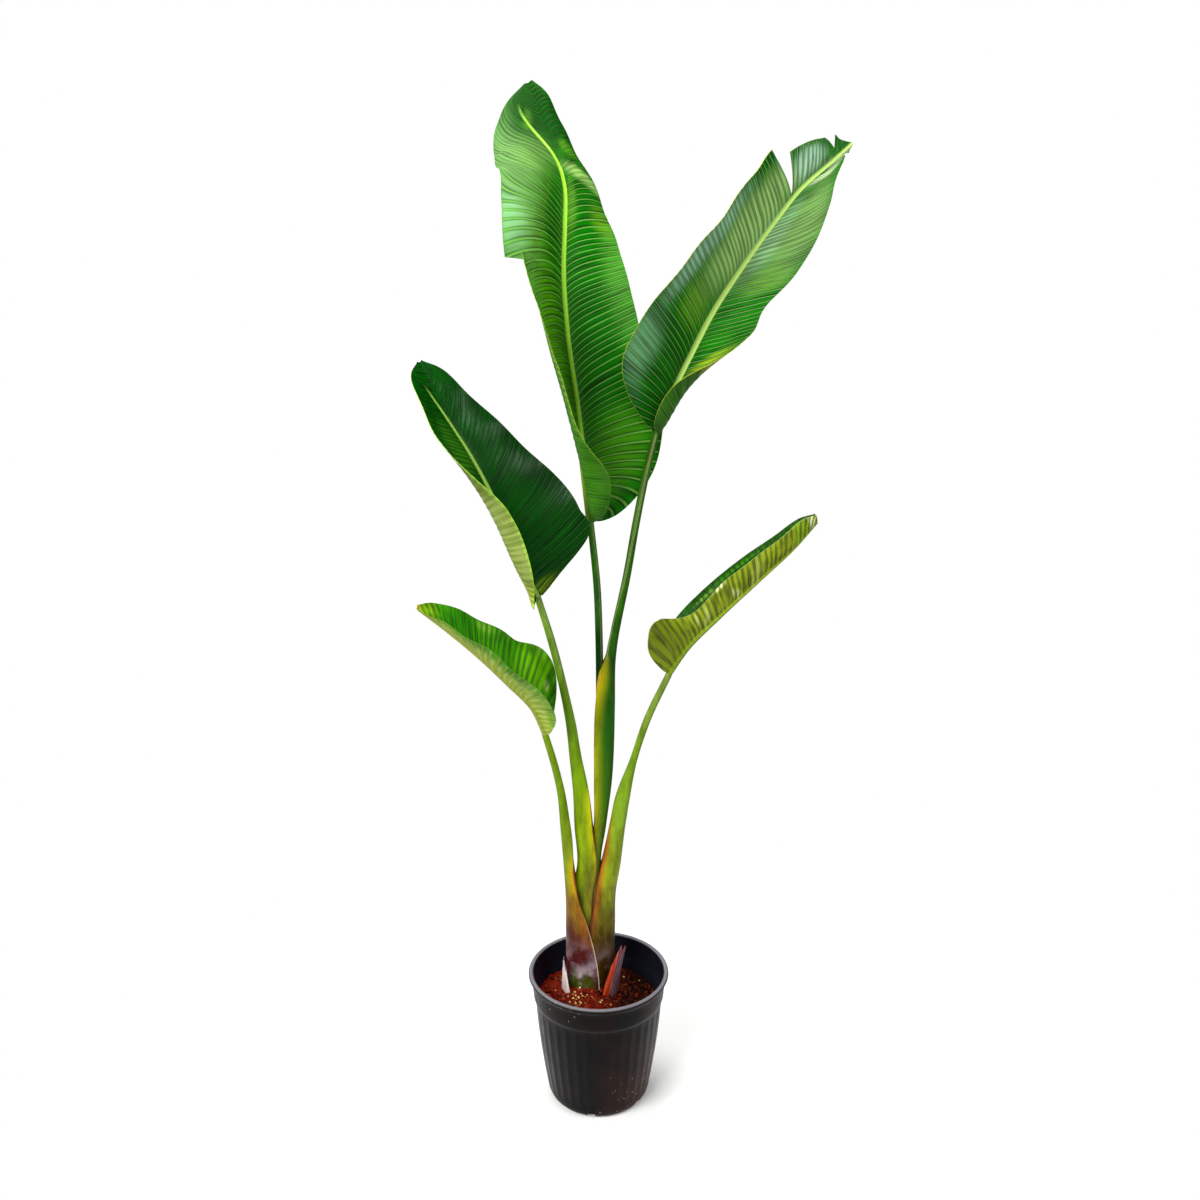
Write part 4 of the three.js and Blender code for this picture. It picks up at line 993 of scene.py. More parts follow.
def veined(leaf, side, t, length):
    """The veins of one half: how far along they leave the midrib, their count and the pleats."""
    sign = SIGNS[side]
    run = (t[:, None] - smooth(leaf["slants"][side], t)[:, None] * SHARES**1.5) * length
    # The veins' pitch drifts a little along the leaf, and each vein stands at its own height.
    vein = run / leaf["pitch"] + 0.45 * np.sin(31 * run + 2 * sign) + 0.2 * np.sin(73 * run + sign)
    draw = np.random.default_rng(7 + sign)
    strength = draw.uniform(*VEIN_HEIGHTS, MOST_VEINS)[np.floor(vein).astype(int) % MOST_VEINS]
    ridge = np.sin(math.pi * vein) ** 2
    swell = np.minimum(1, SHARES / 0.16) * (1 - 0.7 * SHARES) * np.sqrt(fading(t))
    pleats = PLEAT_HEIGHT * (ridge * strength - 0.5) * swell * smooth(leaf["pleats"], t)[:, None]
    return run, vein, pleats


def half_blade(leaf, side, piece, t, frames):
    """One half of a blade with its margin as on the given piece between tears."""
    point, along, normal, across, length = frames
    half = leaf[side]
    sign = SIGNS[side]
    start = next((tear[2] for tear in leaf["tears"] if tear[0] == side), 0)
    out, up, angle, rib, sheet = arched(leaf, half, piece, t, start)
    run, vein, pleats = veined(leaf, side, t, length)
    reach = SHARES * sheet[:, None]
    ends = fading(t)
    lean = np.tan(np.radians(smooth(half["sweep"], t)))[:, None] * reach
    lean += VEIN_SLIP * ends * (1 - np.exp(-reach / VEIN_SLIP_OVER) - SHARES)
    height, count, phase = half["wave"]
    ripple = height * SHARES**2 * ends * np.sin(2 * math.pi * count * t + phase)[:, None]
    ripple += pleats
    face = np.cos(angle)[..., None] * normal[:, None] - sign * np.sin(angle)[..., None] * across[:, None]
    place = point[:, None] + sign * out[..., None] * across[:, None] + up[..., None] * normal[:, None]
    place = place + lean[..., None] * along[:, None] + ripple[..., None] * face
    return place, rib, sheet, vein, run


def station_at(places_along, at):
    """The station that is nearest to a place along the blade."""
    return int(np.argmin(np.abs(places_along - at)))


def torn_grid(title, leaf, stations, places_along):
    """A flat grid of stations by columns, split along each tear and nick."""
    piece = flat_grid(title, stations, 2 * COLUMNS)
    row, column = grid_spots(piece, stations, 2 * COLUMNS)
    pairs = np.empty(2 * len(piece.data.edges), np.int32)
    piece.data.edges.foreach_get("vertices", pairs)
    pairs = pairs.reshape(-1, 2)
    chosen = np.zeros(len(pairs), bool)
    for side, at, root, _ in leaf["tears"] + leaf["nicks"]:
        root_column = len(RIB_SHARES) + round(root * SHEET_COLUMNS)
        torn = (COLUMNS - column) * SIGNS[side] >= root_column
        torn &= row == station_at(places_along, at)
        chosen |= np.all(torn[pairs], axis=1)
    piece.data.vertices.foreach_set("select", np.zeros(len(row), bool))
    piece.data.polygons.foreach_set("select", np.zeros(len(piece.data.polygons), bool))
    piece.data.edges.foreach_set("select", chosen)
    bpy.ops.object.mode_set(mode="EDIT")
    bpy.ops.mesh.select_mode(type="EDGE")
    bpy.ops.mesh.edge_split(type="EDGE")
    bpy.ops.mesh.select_mode(type="VERT")
    bpy.ops.object.mode_set(mode="OBJECT")
    return piece


def paint(piece, name, patches, t, side_share):
    """Colours patches of the skin: place along and across, slope, reach along and across, colour
    and how fully it covers."""
    layer = np.zeros((len(t), 4))
    for at, out, slope, reach, spread, code, cover in patches:
        off = ((t - at - slope * (side_share - out)) / reach) ** 2 + ((side_share - out) / spread) ** 2
        near = (cover * np.exp(-(off**2)))[:, None]
        layer = layer * (1 - near) + np.array(linear(code)) * near
    layer[:, :3] /= np.maximum(layer[:, 3:], 0.001)
    attribute = piece.data.attributes.new(name, "FLOAT_COLOR", "POINT")
    attribute.data.foreach_set("color", layer.astype(np.float32).ravel())


def faces_ahead(piece, row):
    """How far ahead of its station each vertex has its faces. Both edges of a cut are at one
    station, and what lies beyond it is the edge with its faces ahead."""
    corner = corners_of(piece)
    face_rows = row[corner].reshape(-1, 4).mean(axis=1).repeat(4)
    total = np.bincount(corner, weights=face_rows, minlength=len(row))
    return total / np.bincount(corner, minlength=len(row)) - row


def bend_blade(piece, leaf, t, row, column):
    """Bends both halves over the midrib, opens the cuts and marks what the skins read."""
    ahead = faces_ahead(piece, row)
    frames = leaf_frames(leaf, t)
    places = np.empty((len(row), 3))
    share = SHARES[np.abs(column)]
    vein, run, off = (np.empty(len(row)) for _ in range(3))

    def beyond(station):
        return (row > station) | ((row == station) & (ahead > 0))

    for side in SIGNS:
        on_side = column >= 0 if side == "left" else column < 0
        torn_at = [station_at(t, tear[1]) for tear in leaf["tears"] if tear[0] == side]
        order = sum((beyond(station).astype(int) for station in torn_at), 0 * row)
        for index in range(len(torn_at) + 1):
            here = on_side & (order == index)
            grid, rib, sheet, veins, runs = half_blade(leaf, side, index, t, frames)
            at = (row[here], np.abs(column[here]))
            places[here] = grid[at]
            vein[here] = veins[at]
            run[here] = runs[at]
            off[here] = rib[at[0]] * ON_RIB[at[1]] + share[here] * sheet[at[0]]
        for kind, length in (("tears", TEAR_LENGTH), ("nicks", NICK_LENGTH)):
            for _, at, root, gap in (cut for cut in leaf[kind] if cut[0] == side):
                station = station_at(t, at)
                wider = share if kind == "tears" else (share - root) / (1 - root)
                parted = gap / 2 * np.maximum(0, 1 - np.abs(t[row] - t[station]) / length) * wider
                parted = np.where(beyond(station), parted, -parted)
                places += np.where(on_side & (share > root), parted, 0)[:, None] * frames[1][row]
    put_places(piece, places)
    for layer in ("upper_paint", "under_paint"):
        paint(piece, layer, leaf[layer], t[row], np.sign(-column) * share)
    rib_at, rib_half, rib_seen = smooth(leaf["rib_line"], t[row]).T
    mark(piece, "across", share)
    mark(piece, "vein", vein)
    mark(piece, "vein_seen", smooth(leaf["pleats"], t)[row])
    mark(piece, "from_rib", (np.sign(-column) * off - rib_at) / rib_half)
    mark(piece, "rib_seen", rib_seen)
    put_strip(piece, np.stack([run, np.sign(column) * share * 0.1], -1))


def thicken(piece, depth, skins):
    """Gives a sheet its depth below at each vertex, with a skin for each side."""
    deepest = depth.max()
    group = piece.vertex_groups.new(name="depth")
    weights = np.round(depth / deepest, 3)
    for weight in np.unique(weights):
        group.add(np.flatnonzero(weights == weight).tolist(), float(weight), "REPLACE")
    shell = piece.modifiers.new("thickness", "SOLIDIFY")
    shell.thickness = deepest
    shell.offset = -1
    shell.vertex_group = group.name
    shell.material_offset = 1
    shell.material_offset_rim = 1
    for skin in skins:
        piece.data.materials.append(skin)
    bpy.ops.object.modifier_apply(modifier=shell.name)
    bpy.ops.object.shade_smooth_by_angle(angle=math.radians(50))


def blade_piece(title, leaf, skins):
    """A leaf blade from the torn grid, with its thickness and the keel under its midrib."""
    stations = leaf["stations"]
    count = np.arange(stations + 1) / stations
    t = count - CROWDING * np.sin(2 * math.pi * count)
    piece = torn_grid(title, leaf, stations, t)
    row, column = grid_spots(piece, stations, 2 * COLUMNS)
    column = column - COLUMNS
    bend_blade(piece, leaf, t, row, column)
    off_keel = np.abs(column)
    keel = np.where(SHARES[off_keel] > 0, 0, 1 - ON_RIB[off_keel] ** 2)
    depth = BLADE_THICKNESS + smooth(leaf["keel"], t)[row] * np.sqrt(np.clip(keel, 0, 1))
    thicken(piece, depth, skins)
    return piece


def leaf_skin(title, layer, deep, fresh, line, rib, rim, gloss, dull):
    """A leaf's waxed skin: greens that streak along the veins, with painted sheen on the polished
    streaks and painted shade in the folds, pale vein lines and midrib, and a gloss that breaks up
    into streaks."""
    material, node, shader = new_material(title)
    strip = node("UVMap", uv_map="UVMap")
    vein = node("Attribute", attribute_name="vein").outputs["Fac"]
    turn = node("Math", {0: vein, 1: math.pi}, operation="MULTIPLY")
    wave = node("Math", {0: turn}, operation="SINE")
    ridge = node("Math", {0: wave}, operation="ABSOLUTE")
    across = node("Attribute", attribute_name="across").outputs["Fac"]
    # Fine veins lie about 2.5 mm apart and run out from the midrib.
    fine_at = node("Mapping", {"Vector": strip, "Scale": (400, 9, 1)})
    fine = node("TexNoise", {"Vector": fine_at, "Scale": 1, "Detail": 3, "Roughness": 0.6})
    patch_at = node("Mapping", {"Vector": strip, "Scale": (24, 16, 1)})
    patch = node("TexNoise", {"Vector": patch_at, "Scale": 1, "Detail": 3})
    # Darker and fresher streaks, 5 to 10 mm wide, follow the veins: partly the tissue's own tone and
    # partly painted sheen, lighter where the streaks are polished.
    streak_at = node("Mapping", {"Vector": strip, "Scale": (150, 16, 1)})
    streak = node("TexNoise", {"Vector": streak_at, "Scale": 1, "Detail": 2, "Roughness": 0.4})
    # Painted shade: the tone is darker in the fold along each vein.
    crown = node("Math", {0: ridge, 1: 0.6}, operation="MULTIPLY")
    grain = node("Math", {0: fine, 1: 0.55}, operation="MULTIPLY")
    half_sum = node("Math", {0: crown, 1: grain}, operation="ADD")
    streaked = node("Math", {0: streak, 1: 1.1, 2: half_sum}, operation="MULTIPLY_ADD")
    tone = node("Math", {0: patch, 1: 0.5, 2: streaked}, operation="MULTIPLY_ADD")
    tone_share = node("MapRange", {"Value": tone, "From": (1.18, 1.68)})
    grown = node("Mix", {"Factor": tone_share, "A": deep, "B": fresh}, data_type="RGBA")
    layered = node("Attribute", attribute_name=layer)
    tone_shade = node("MapRange", {"Value": tone, "From": (1.18, 1.68), "To": (0.45, 1.32)})
    shaded = node(
        "Mix", {"Factor": 1.0, "A": layered.outputs["Color"], "B": tone_shade}, data_type="RGBA",
        blend_type="MULTIPLY"
    )
    # Each vein lies in a fold, painted deep green as painted shade, where the painted patches give
    # way, with a fine pale line in its middle.
    fold = node(
        "MapRange", {"Value": ridge, "From": (0.75, 0.15), "To": (0, 0.65)}, interpolation_type="SMOOTHSTEP"
    )
    vein_seen = node("Attribute", attribute_name="vein_seen").outputs["Fac"]
    folded = node("Math", {0: fold, 1: vein_seen}, operation="MULTIPLY")
    open_skin = node("Math", {0: 1.0, 1: folded}, operation="SUBTRACT")
    cover = node("Math", {0: open_skin, 1: layered.outputs["Alpha"]}, operation="MULTIPLY")
    body = node("Mix", {"Factor": cover, "A": grown, "B": shaded}, data_type="RGBA")
    crease = node("MapRange", {"Value": ridge, "From": (0.42, 0.12)}, interpolation_type="SMOOTHSTEP")
    line_share = node("Math", {0: crease, 1: vein_seen}, operation="MULTIPLY")
    lined = node("Mix", {"Factor": line_share, "A": body, "B": line}, data_type="RGBA", blend_type="ADD")
    from_rib = node("Attribute", attribute_name="from_rib").outputs["Fac"]
    rib_seen = node("Attribute", attribute_name="rib_seen").outputs["Fac"]
    off_rib = node("Math", {0: from_rib}, operation="ABSOLUTE")
    rib_core = node("MapRange", {"Value": off_rib, "From": (1.3, 0.7)}, interpolation_type="SMOOTHSTEP")
    rib_share = node("Math", {0: rib_core, 1: rib_seen}, operation="MULTIPLY")
    lit_side = node("MapRange", {"Value": from_rib, "From": (-1.0, 0.5), "To": (0.55, 1)})
    rib_body = node(
        "Mix", {"Factor": 1.0, "A": rib, "B": lit_side}, data_type="RGBA", blend_type="MULTIPLY"
    )
    ribbed = node("Mix", {"Factor": rib_share, "A": lined, "B": rib_body}, data_type="RGBA")
    rim_share = node("MapRange", {"Value": across, "From": (0.985, 1.0)})
    rimmed = node("Mix", {"Factor": rim_share, "A": ribbed, "B": rim}, data_type="RGBA")
    # Polished streaks follow the veins and catch the lamps.
    shine = node("MapRange", {"Value": streak, "From": (0.42, 0.66), "To": (dull, gloss)})
    veins = node("Bump", {"Height": fine, "Strength": 0.5, "Distance": 0.0006})
    plug(
        shader,
        {"Base Color": rimmed, "Roughness": shine, "Normal": veins, "IOR": 1.45, "Specular IOR Level": 0.15}
    )
    return material


# The upper and the under skin: the deep and the fresh green between the veins, what the vein lines
# add, the midrib, the margin, and the roughness of the polished streaks and between them.
LEAF_SKINS = {
    "leaf_1": (
        ("#012400", "#106c00", "#5c903a", "#a0dc3c", "#3f7a14", 0.22, 0.4),
        ("#184c03", "#3c7c10", "#3f6820", "#9ab83c", "#7a9c2c", 0.42, 0.55),
    ),
    "leaf_2": (
        ("#012401", "#146c06", "#5c8448", "#b8dc70", "#3f6a1c", 0.22, 0.4),
        ("#164006", "#336c12", "#3f6020", "#a4bc30", "#a0a830", 0.42, 0.55),
    ),
    # Leaf 3's upper greens are painted darker than the other leaves', as painted shade.
    "leaf_3": (
        ("#001400", "#034402", "#1c4c1c", "#98c450", "#2f4a18", 0.15, 0.34),
        ("#6c8030", "#98a858", "#4c5428", "#c2cf6a", "#98c040", 0.42, 0.55),
    ),
    "leaf_4": (
        ("#083c00", "#368002", "#34501a", "#b8c44c", "#6a7a20", 0.3, 0.44),
        ("#7c9820", "#acbc54", "#445820", "#b4b85a", "#4c8014", 0.42, 0.55),
    ),
    "leaf_5": (
        ("#042004", "#1c5406", "#2c4818", "#b0c45a", "#5a6a20", 0.28, 0.44),
        ("#344402", "#8c9c1c", "#4c5828", "#7a9423", "#a4b070", 0.4, 0.55),
    ),
}
# What each blade's skin shows: the number of stations, the pitch of the veins, how far along they
# have gone at the margin, how high they stand, the midrib's line (place along, metres to the
# right, half width, strength) and the painted patches, which hold tones of the tissue, painted
# shade and painted highlights and reflections. A nick is side, place, root share and gap.
BLADES = {
    "leaf_1": {
        "stations": 480, "pitch": 0.0098, "nicks": [],
        "slants": {
            "left": [(0, 0), (0.6, 0), (0.8, 0.14), (1, 0.14)], "right": [(0, -0.02), (0.6, -0.01), (1, 0)],
        },
        "pleats": [(0, 1), (0.65, 1), (0.78, 0.3), (1, 0.3)],
        "rib_line": [
            (0, 0, 0.0046, 1), (0.3, -0.001, 0.0042, 1), (0.7, -0.001, 0.003, 1), (0.76, -0.005, 0.0028, 1),
            (0.8, -0.013, 0.0026, 1), (0.85, -0.021, 0.0024, 0.8), (0.9, -0.028, 0.0022, 0.4),
            (0.94, -0.028, 0.0022, 0), (1, -0.028, 0.0022, 0),
        ],
        # Painted light on leaf 1: the pale patches on the left lobe are painted reflection, the pale band
        # across the bend of the right half is a painted highlight, and the dark patches at the tip and in
        # the crease beside the lobe are painted shade.
        "upper_paint": [
            (0.45, 0.85, 0, 0.16, 0.28, "#4c8c2c", 0.45), (0.42, 0.4, 0, 0.2, 0.32, "#045400", 0.75),
            (0.12, 0.4, 0, 0.07, 0.4, "#4c9010", 0.5), (0.28, -0.6, 0, 0.3, 0.5, "#56960a", 0.6),
            (0.72, -0.85, 0, 0.25, 0.42, "#5c8446", 0.9), (0.77, -0.4, 0.1, 0.09, 0.35, "#547c34", 0.8),
            (0.61, -0.17, 0, 0.09, 0.18, "#0a5002", 0.8), (0.57, -0.88, 0, 0.06, 0.22, "#6c9c6c", 0.6),
            (0.59, -0.44, 0.49, 0.035, 0.25, "#3c6410", 0.7),
            (0.92, 0.12, -0.08, 0.15, 1.2, "#003800", 1.0), (0.6, 0.42, -0.06, 0.09, 0.32, "#045a00", 0.9),
            (0.78, 0.42, -0.06, 0.022, 0.3, "#4c8010", 0.5),
            (0.885, -0.28, 0.1, 0.03, 0.1, "#4c7c14", 0.45), (0.655, 0.12, 0, 0.06, 0.12, "#5c8c24", 0.5),
            (0.705, 0.6, -0.075, 0.02, 0.6, "#90b060", 0.6), (0.6, 0.8, -0.06, 0.04, 0.25, "#6c9a14", 0.35),
        ],
        "under_paint": [(0.3, -0.97, 0, 0.12, 0.12, "#7c9c40", 0.55)],
    },
    "leaf_2": {
        "stations": 400, "pitch": 0.0086,
        "nicks": [("left", 0.93, 0.45, 0.014), ("right", 0.955, 0.3, 0.008)],
        "slants": {"left": [(0, 0), (1, 0.01)], "right": [(0, 0.05), (0.5, 0.08), (0.8, 0.12), (1, 0.1)]},
        "pleats": [(0, 1), (0.85, 1), (1, 0.5)],
        "rib_line": [
            (0, 0, 0.003, 0.4), (0.2, 0, 0.0042, 1), (0.6, -0.001, 0.0038, 1), (0.8, 0, 0.0032, 1),
            (1, 0, 0.0022, 1),
        ],
        # The pale grey-green patches of leaf 2 are partly waxy bloom and partly painted reflection.
        "upper_paint": [
            (0.6, -0.35, 0, 0.22, 0.4, "#8cac64", 0.85), (0.45, -0.88, 0, 0.18, 0.18, "#80a48c", 0.8),
            (0.34, -0.35, 0, 0.06, 0.3, "#5c8a14", 0.6), (0.16, -0.8, 0, 0.09, 0.3, "#6c9c78", 0.65),
            (0.23, -0.5, 0, 0.035, 0.6, "#063c04", 0.7), (0.72, -0.92, 0, 0.05, 0.12, "#0a3c06", 0.8),
            (0.68, 0.6, 0.08, 0.16, 0.45, "#6c8c4c", 0.85), (0.62, 0.15, 0, 0.14, 0.22, "#88ac84", 0.6),
            (0.36, 0.3, 0.05, 0.09, 0.45, "#1c6c08", 0.6), (0.5, 0.6, 0.08, 0.05, 0.4, "#648e34", 0.6),
            (0.24, 0.5, 0.1, 0.022, 0.4, "#8aa418", 0.8), (0.34, 0.9, 0.1, 0.03, 0.15, "#0c5408", 0.7),
            (0.86, 0.35, 0.15, 0.03, 0.3, "#c4d4a4", 0.7), (0.95, 0.4, 0.1, 0.05, 0.5, "#a0a884", 0.6),
            (0.83, -0.5, 0, 0.06, 0.4, "#9cc0a8", 0.75), (0.84, -0.95, 0, 0.03, 0.1, "#2a5a0c", 0.8),
        ],
        "under_paint": [(0.23, 0.9, 0.1, 0.03, 0.2, "#b0ac3c", 0.7)],
    },
    "leaf_3": {
        "stations": 330, "pitch": 0.0088, "nicks": [],
        "slants": {"left": [(0, 0), (1, 0)], "right": [(0, 0.06), (1, 0.09)]},
        "pleats": [(0, 1), (1, 0.6)],
        "rib_line": [
            (0, 0, 0.003, 0.8), (0.5, -0.001, 0.003, 1), (0.7, -0.0035, 0.0026, 1),
            (0.8, -0.005, 0.0022, 1), (0.86, -0.009, 0.002, 0.6), (0.9, -0.012, 0.002, 0),
            (1, -0.012, 0.002, 0),
        ],
        # The dark patches are painted shade.
        "upper_paint": [
            (0.5, 0.2, 0, 0.5, 0.28, "#034203", 0.7), (0.45, 0.9, 0.07, 0.35, 0.2, "#082408", 0.6),
            (0.03, 0.4, 0, 0.03, 0.6, "#7c9a10", 0.7), (0.62, -0.3, 0, 0.12, 0.3, "#3c7a10", 0.5),
        ],
        "under_paint": [
            (0.05, -0.6, 0, 0.06, 0.6, "#b4c430", 0.7), (0.48, -0.9, 0, 0.08, 0.3, "#5a7418", 0.8),
            (0.25, -1.0, 0, 0.35, 0.05, "#94c038", 0.9),
        ],
    },
    "leaf_4": {
        "stations": 260, "pitch": 0.0105, "nicks": [],
        "slants": {"left": [(0, 0.02), (1, 0.04)], "right": [(0, 0.02), (1, 0.04)]},
        "pleats": [(0, 1), (1, 1)], "rib_line": [(0, 0, 0.0045, 0.8), (1, 0, 0.002, 0.8)],
        "upper_paint": [
            (0.25, 0.6, 0, 0.1, 0.5, "#64a800", 0.6), (0.72, 0.6, 0, 0.11, 0.5, "#0c5c02", 0.75),
            (0.93, 0.5, 0, 0.06, 0.7, "#6c8c10", 0.7), (1.0, 0.3, 0, 0.025, 1.2, "#a08018", 0.8),
            (0.16, 0.6, 0, 0.014, 0.12, "#c0e070", 0.7), (0.58, 0.85, 0, 0.06, 0.15, "#5c8428", 0.6),
            (0.29, 0.9, 0.05, 0.02, 0.14, "#0c3c08", 0.7),
        ],
        "under_paint": [
            (0.45, -1.0, 0, 0.35, 0.42, "#347c06", 0.95), (0.85, -1.0, 0, 0.15, 0.2, "#5c9010", 0.8),
            (0.12, -0.9, 0, 0.08, 0.35, "#6ca01c", 0.7), (0.97, -0.5, 0, 0.04, 1.0, "#a8943c", 0.7),
        ],
    },
    "leaf_5": {
        "stations": 300, "pitch": 0.0095, "nicks": [],
        "slants": {"left": [(0, 0), (1, 0)], "right": [(0, 0.0), (0.5, 0.03), (1, 0.03)]},
        "pleats": [(0, 1), (1, 1)], "rib_line": [(0, 0, 0.0045, 0.8), (1, 0, 0.002, 0.8)],
        "upper_paint": [
            (0.35, -0.78, 0, 0.06, 0.06, "#84b438", 0.5), (0.55, -0.84, 0, 0.15, 0.06, "#3c8c08", 0.6),
        ],
        # The pale yellow patches are partly pale streaks of the underside and partly painted highlights.
        "under_paint": [
            (0.12, 0.5, 0, 0.11, 0.8, "#6c7c08", 0.8), (0.62, 0.3, 0.05, 0.035, 0.5, "#a0a850", 0.6),
            (0.33, 0.4, 0.06, 0.02, 0.5, "#b0b860", 0.6), (0.28, 0.6, 0.05, 0.012, 0.3, "#b8c068", 0.6),
            (0.4, 0.7, 0.03, 0.015, 0.3, "#465608", 0.7), (0.47, 0.6, 0.04, 0.02, 0.4, "#485608", 0.7),
            (0.5, 0.25, -0.04, 0.02, 0.3, "#b4c070", 0.7), (0.9, 0.5, 0, 0.04, 0.7, "#7ca810", 0.7),
            (0.97, 0.6, 0, 0.02, 0.6, "#dce8a8", 0.8), (0.45, 0.95, 0, 0.03, 0.08, "#e0eca0", 0.9),
        ],
    },
}
for name, extra in BLADES.items():
    plain = name.replace("_", " ")
    upper = leaf_skin(f"glossy leaf, {plain}", "upper_paint", *LEAF_SKINS[name][0])
    under = leaf_skin(f"leaf underside, {plain}", "under_paint", *LEAF_SKINS[name][1])
    blade = blade_piece(f"{name}_sheet", LEAVES[name] | extra, [upper, under])
    finish_piece(blade, [], [f"{name}_blade"])

# Two old sheaths: the dried, cut-off bases of earlier leaves, stiff and papery, leaning out of the
# nest. They are rolled as the stalks are, with a ragged top.
OLD_STATIONS = 60
OLD_SHEATHS = {
    "old_sheath_left": [
        (-0.051, 0.002, 0.152, 0.009, 0.014, 60, 0.0024, 0, 215),
        (-0.053, 0.001, 0.19, 0.009, 0.014, 60, 0.0024, 0, 215),
        (-0.055, 0.0, 0.214, 0.007, 0.009, 55, 0.002, 0, 215),
        (-0.057, 0.001, 0.236, 0.004, 0.003, 50, 0.0012, 0, 215),
    ],
    "old_sheath_right": [
        (0.015, 0.004, 0.152, 0.016, 0.02, 70, 0.003, 0, 318),
        (0.017, 0.002, 0.19, 0.016, 0.02, 70, 0.003, 0, 318),
        (0.025, 0.0, 0.226, 0.014, 0.015, 76, 0.0026, 0, 322),
        (0.038, 0.001, 0.264, 0.0085, 0.008, 74, 0.0016, 0, 326),
    ],
}
# Tones of the skin and of the dried fibre, from between the strands to their crowns.
HUSK_TONES = {
    "old_sheath_left": (
        [(0.3, "#a08088"), (0.5, "#d8c8c4"), (0.7, "#f4eee8")],
        [(0.3, "#b09a86"), (0.5, "#e0d4c2"), (0.72, "#f6f0e6")],
    ),
    "old_sheath_right": (
        [(0.3, "#301820"), (0.5, "#5c3c44"), (0.7, "#a88c92")],
        [(0.3, "#4c0e04"), (0.5, "#98280c"), (0.72, "#e06430")],
    ),
}
for name, rows in OLD_SHEATHS.items():
    shape = stalk_shape(rows, fray=4.0 if name.endswith("left") else 9.0)
    sheath = ringed_grid(f"{name}_husk", OLD_STATIONS, OUTER_POINTS + INNER_POINTS, shape)
    # Dried sheath: rust-red fibre inside, grey-purple skin outside with a chalky bloom.
    skin, node, shader = new_material(f"dried leaf sheath, {name.split('_')[-1]}")
    strip = node("UVMap", uv_map="UVMap")
    inner = node("Attribute", attribute_name="inner").outputs["Fac"]
    strands_at = node("Mapping", {"Vector": strip, "Scale": (16, 700, 1)})
    strands = node("TexNoise", {"Vector": strands_at, "Scale": 1, "Detail": 4})
    outer_tones, dry_tones = HUSK_TONES[name]
    outside = node("ValToRGB", {"Fac": strands}, stops=outer_tones)
    within = node("ValToRGB", {"Fac": strands}, stops=dry_tones)
    apart = node("SeparateXYZ", {"Vector": strip})
    turned = node("MapRange", {"Value": apart.outputs["Y"], "From": (-0.008, -0.013)})
    dry = node("Math", {0: inner, 1: turned}, operation="MAXIMUM")
    both = node("Mix", {"Factor": dry, "A": outside, "B": within}, data_type="RGBA")
    ribs = node("Bump", {"Height": strands, "Strength": 0.7, "Distance": 0.0007})
    plug(shader, {"Base Color": both, "Normal": ribs, "Roughness": 0.55})
    finish_piece(sheath, [skin], [name])

# The studio: a wide pale floor, soft lamps and a bright even surround. The camera looks a little
# down at the plant from the front.
FLOOR_SIZE = 16
CAMERA_PLACE = (0.0025, -1.483, 1.169)
CAMERA_PITCH = 11.29
LENS = 28.5
bpy.ops.object.select_all(action="DESELECT")
bpy.ops.mesh.primitive_plane_add(size=FLOOR_SIZE, location=(0, 0, -0.0004))
floor = bpy.context.object
floor.name = "studio_floor"
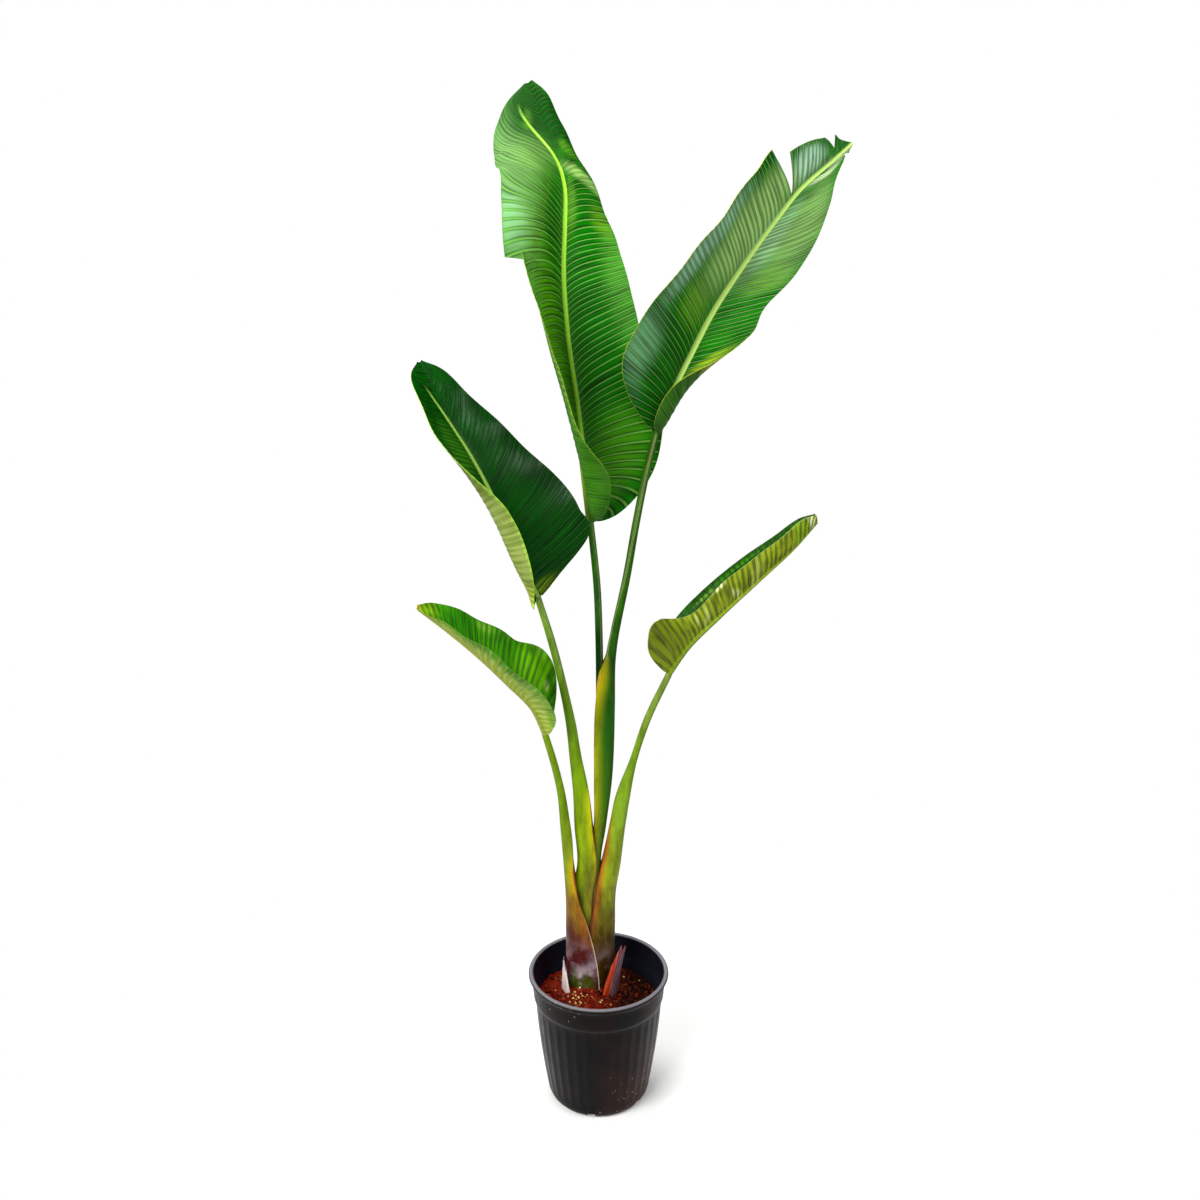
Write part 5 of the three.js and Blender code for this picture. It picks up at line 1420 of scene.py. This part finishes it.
# Matt white board that glows into the white surround a few steps away from the plant.
paper, node, shader = new_material("matt white floor")
place = node("TexCoord").outputs["Object"]
plug(shader, {"Base Color": "#f4f4f2", "Roughness": 0.9})
away = node("VectorMath", {0: place}, operation="LENGTH")
fade = node(
    "MapRange", {"Value": away.outputs["Value"], "From": (0.10, 1.0)}, interpolation_type="SMOOTHSTEP"
)
seen = node("LightPath")
shown = node("MapRange", {"Value": seen.outputs["Is Camera Ray"], "To": (0.3, 1)})
glow = node("Emission", {"Color": "#ffffff", "Strength": shown})
both = node("MixShader", {0: fade, 1: shader, 2: glow})
plug(paper.node_tree.nodes["Material Output"], {"Surface": both})
floor.data.materials.append(paper)

# The large lamps light softly and don't mirror; the two small ones give the gloss.
LAMPS = {
    "key_lamp": ((-1.7, -1.9, 2.5), 2.0, 120, False),
    "fill_lamp": ((2.3, -1.2, 2.2), 1.8, 55, False),
    "top_lamp": ((-0.3, 0.6, 3.2), 1.6, 78, False),
    "front_lamp": ((0.6, -3.3, 1.5), 0.8, 20, True),
    "left_lamp": ((-2.4, -1.6, 1.2), 0.9, 22, True),
}
AIM = Vector((0, 0, 0.95))
for title, (spot, size, power, mirrored) in LAMPS.items():
    lamp = bpy.data.objects.new(title, bpy.data.lights.new(title, "AREA"))
    lamp.data.size = size
    lamp.data.energy = power
    lamp.location = spot
    lamp.visible_glossy = mirrored
    lamp.rotation_euler = (AIM - Vector(spot)).to_track_quat("-Z", "Y").to_euler()
    bpy.context.scene.collection.objects.link(lamp)

# The surround is white to the eye; what it lends to the plant comes mostly from above and left.
world = bpy.data.worlds.new("white surround")
world.use_nodes = True
bpy.context.scene.world = world
node = functools.partial(add_node, world.node_tree)
sky = node("TexCoord").outputs["Generated"]
toward = node("VectorMath", {0: sky, 1: (-0.42, -0.12, 0.9)}, operation="DOT_PRODUCT")
glow = node(
    "ValToRGB", {"Fac": toward.outputs["Value"]},
    stops=[(0.0, "#262626"), (0.45, "#363636"), (0.95, "#a0a0a0")]
)
seen = node("LightPath")
shown = node("Mix", {"Factor": seen.outputs["Is Camera Ray"], "A": glow, "B": "#ffffff"}, data_type="RGBA")
plug(world.node_tree.nodes["Background"], {"Color": shown, "Strength": 1.0})

camera = bpy.data.objects.new("camera", bpy.data.cameras.new("camera"))
camera.location = CAMERA_PLACE
camera.rotation_euler = (math.radians(90 - CAMERA_PITCH), 0, 0)
camera.data.lens = LENS
camera.data.sensor_width = 36
bpy.context.scene.collection.objects.link(camera)
bpy.context.scene.camera = camera
bpy.context.scene.view_settings.view_transform = "Standard"
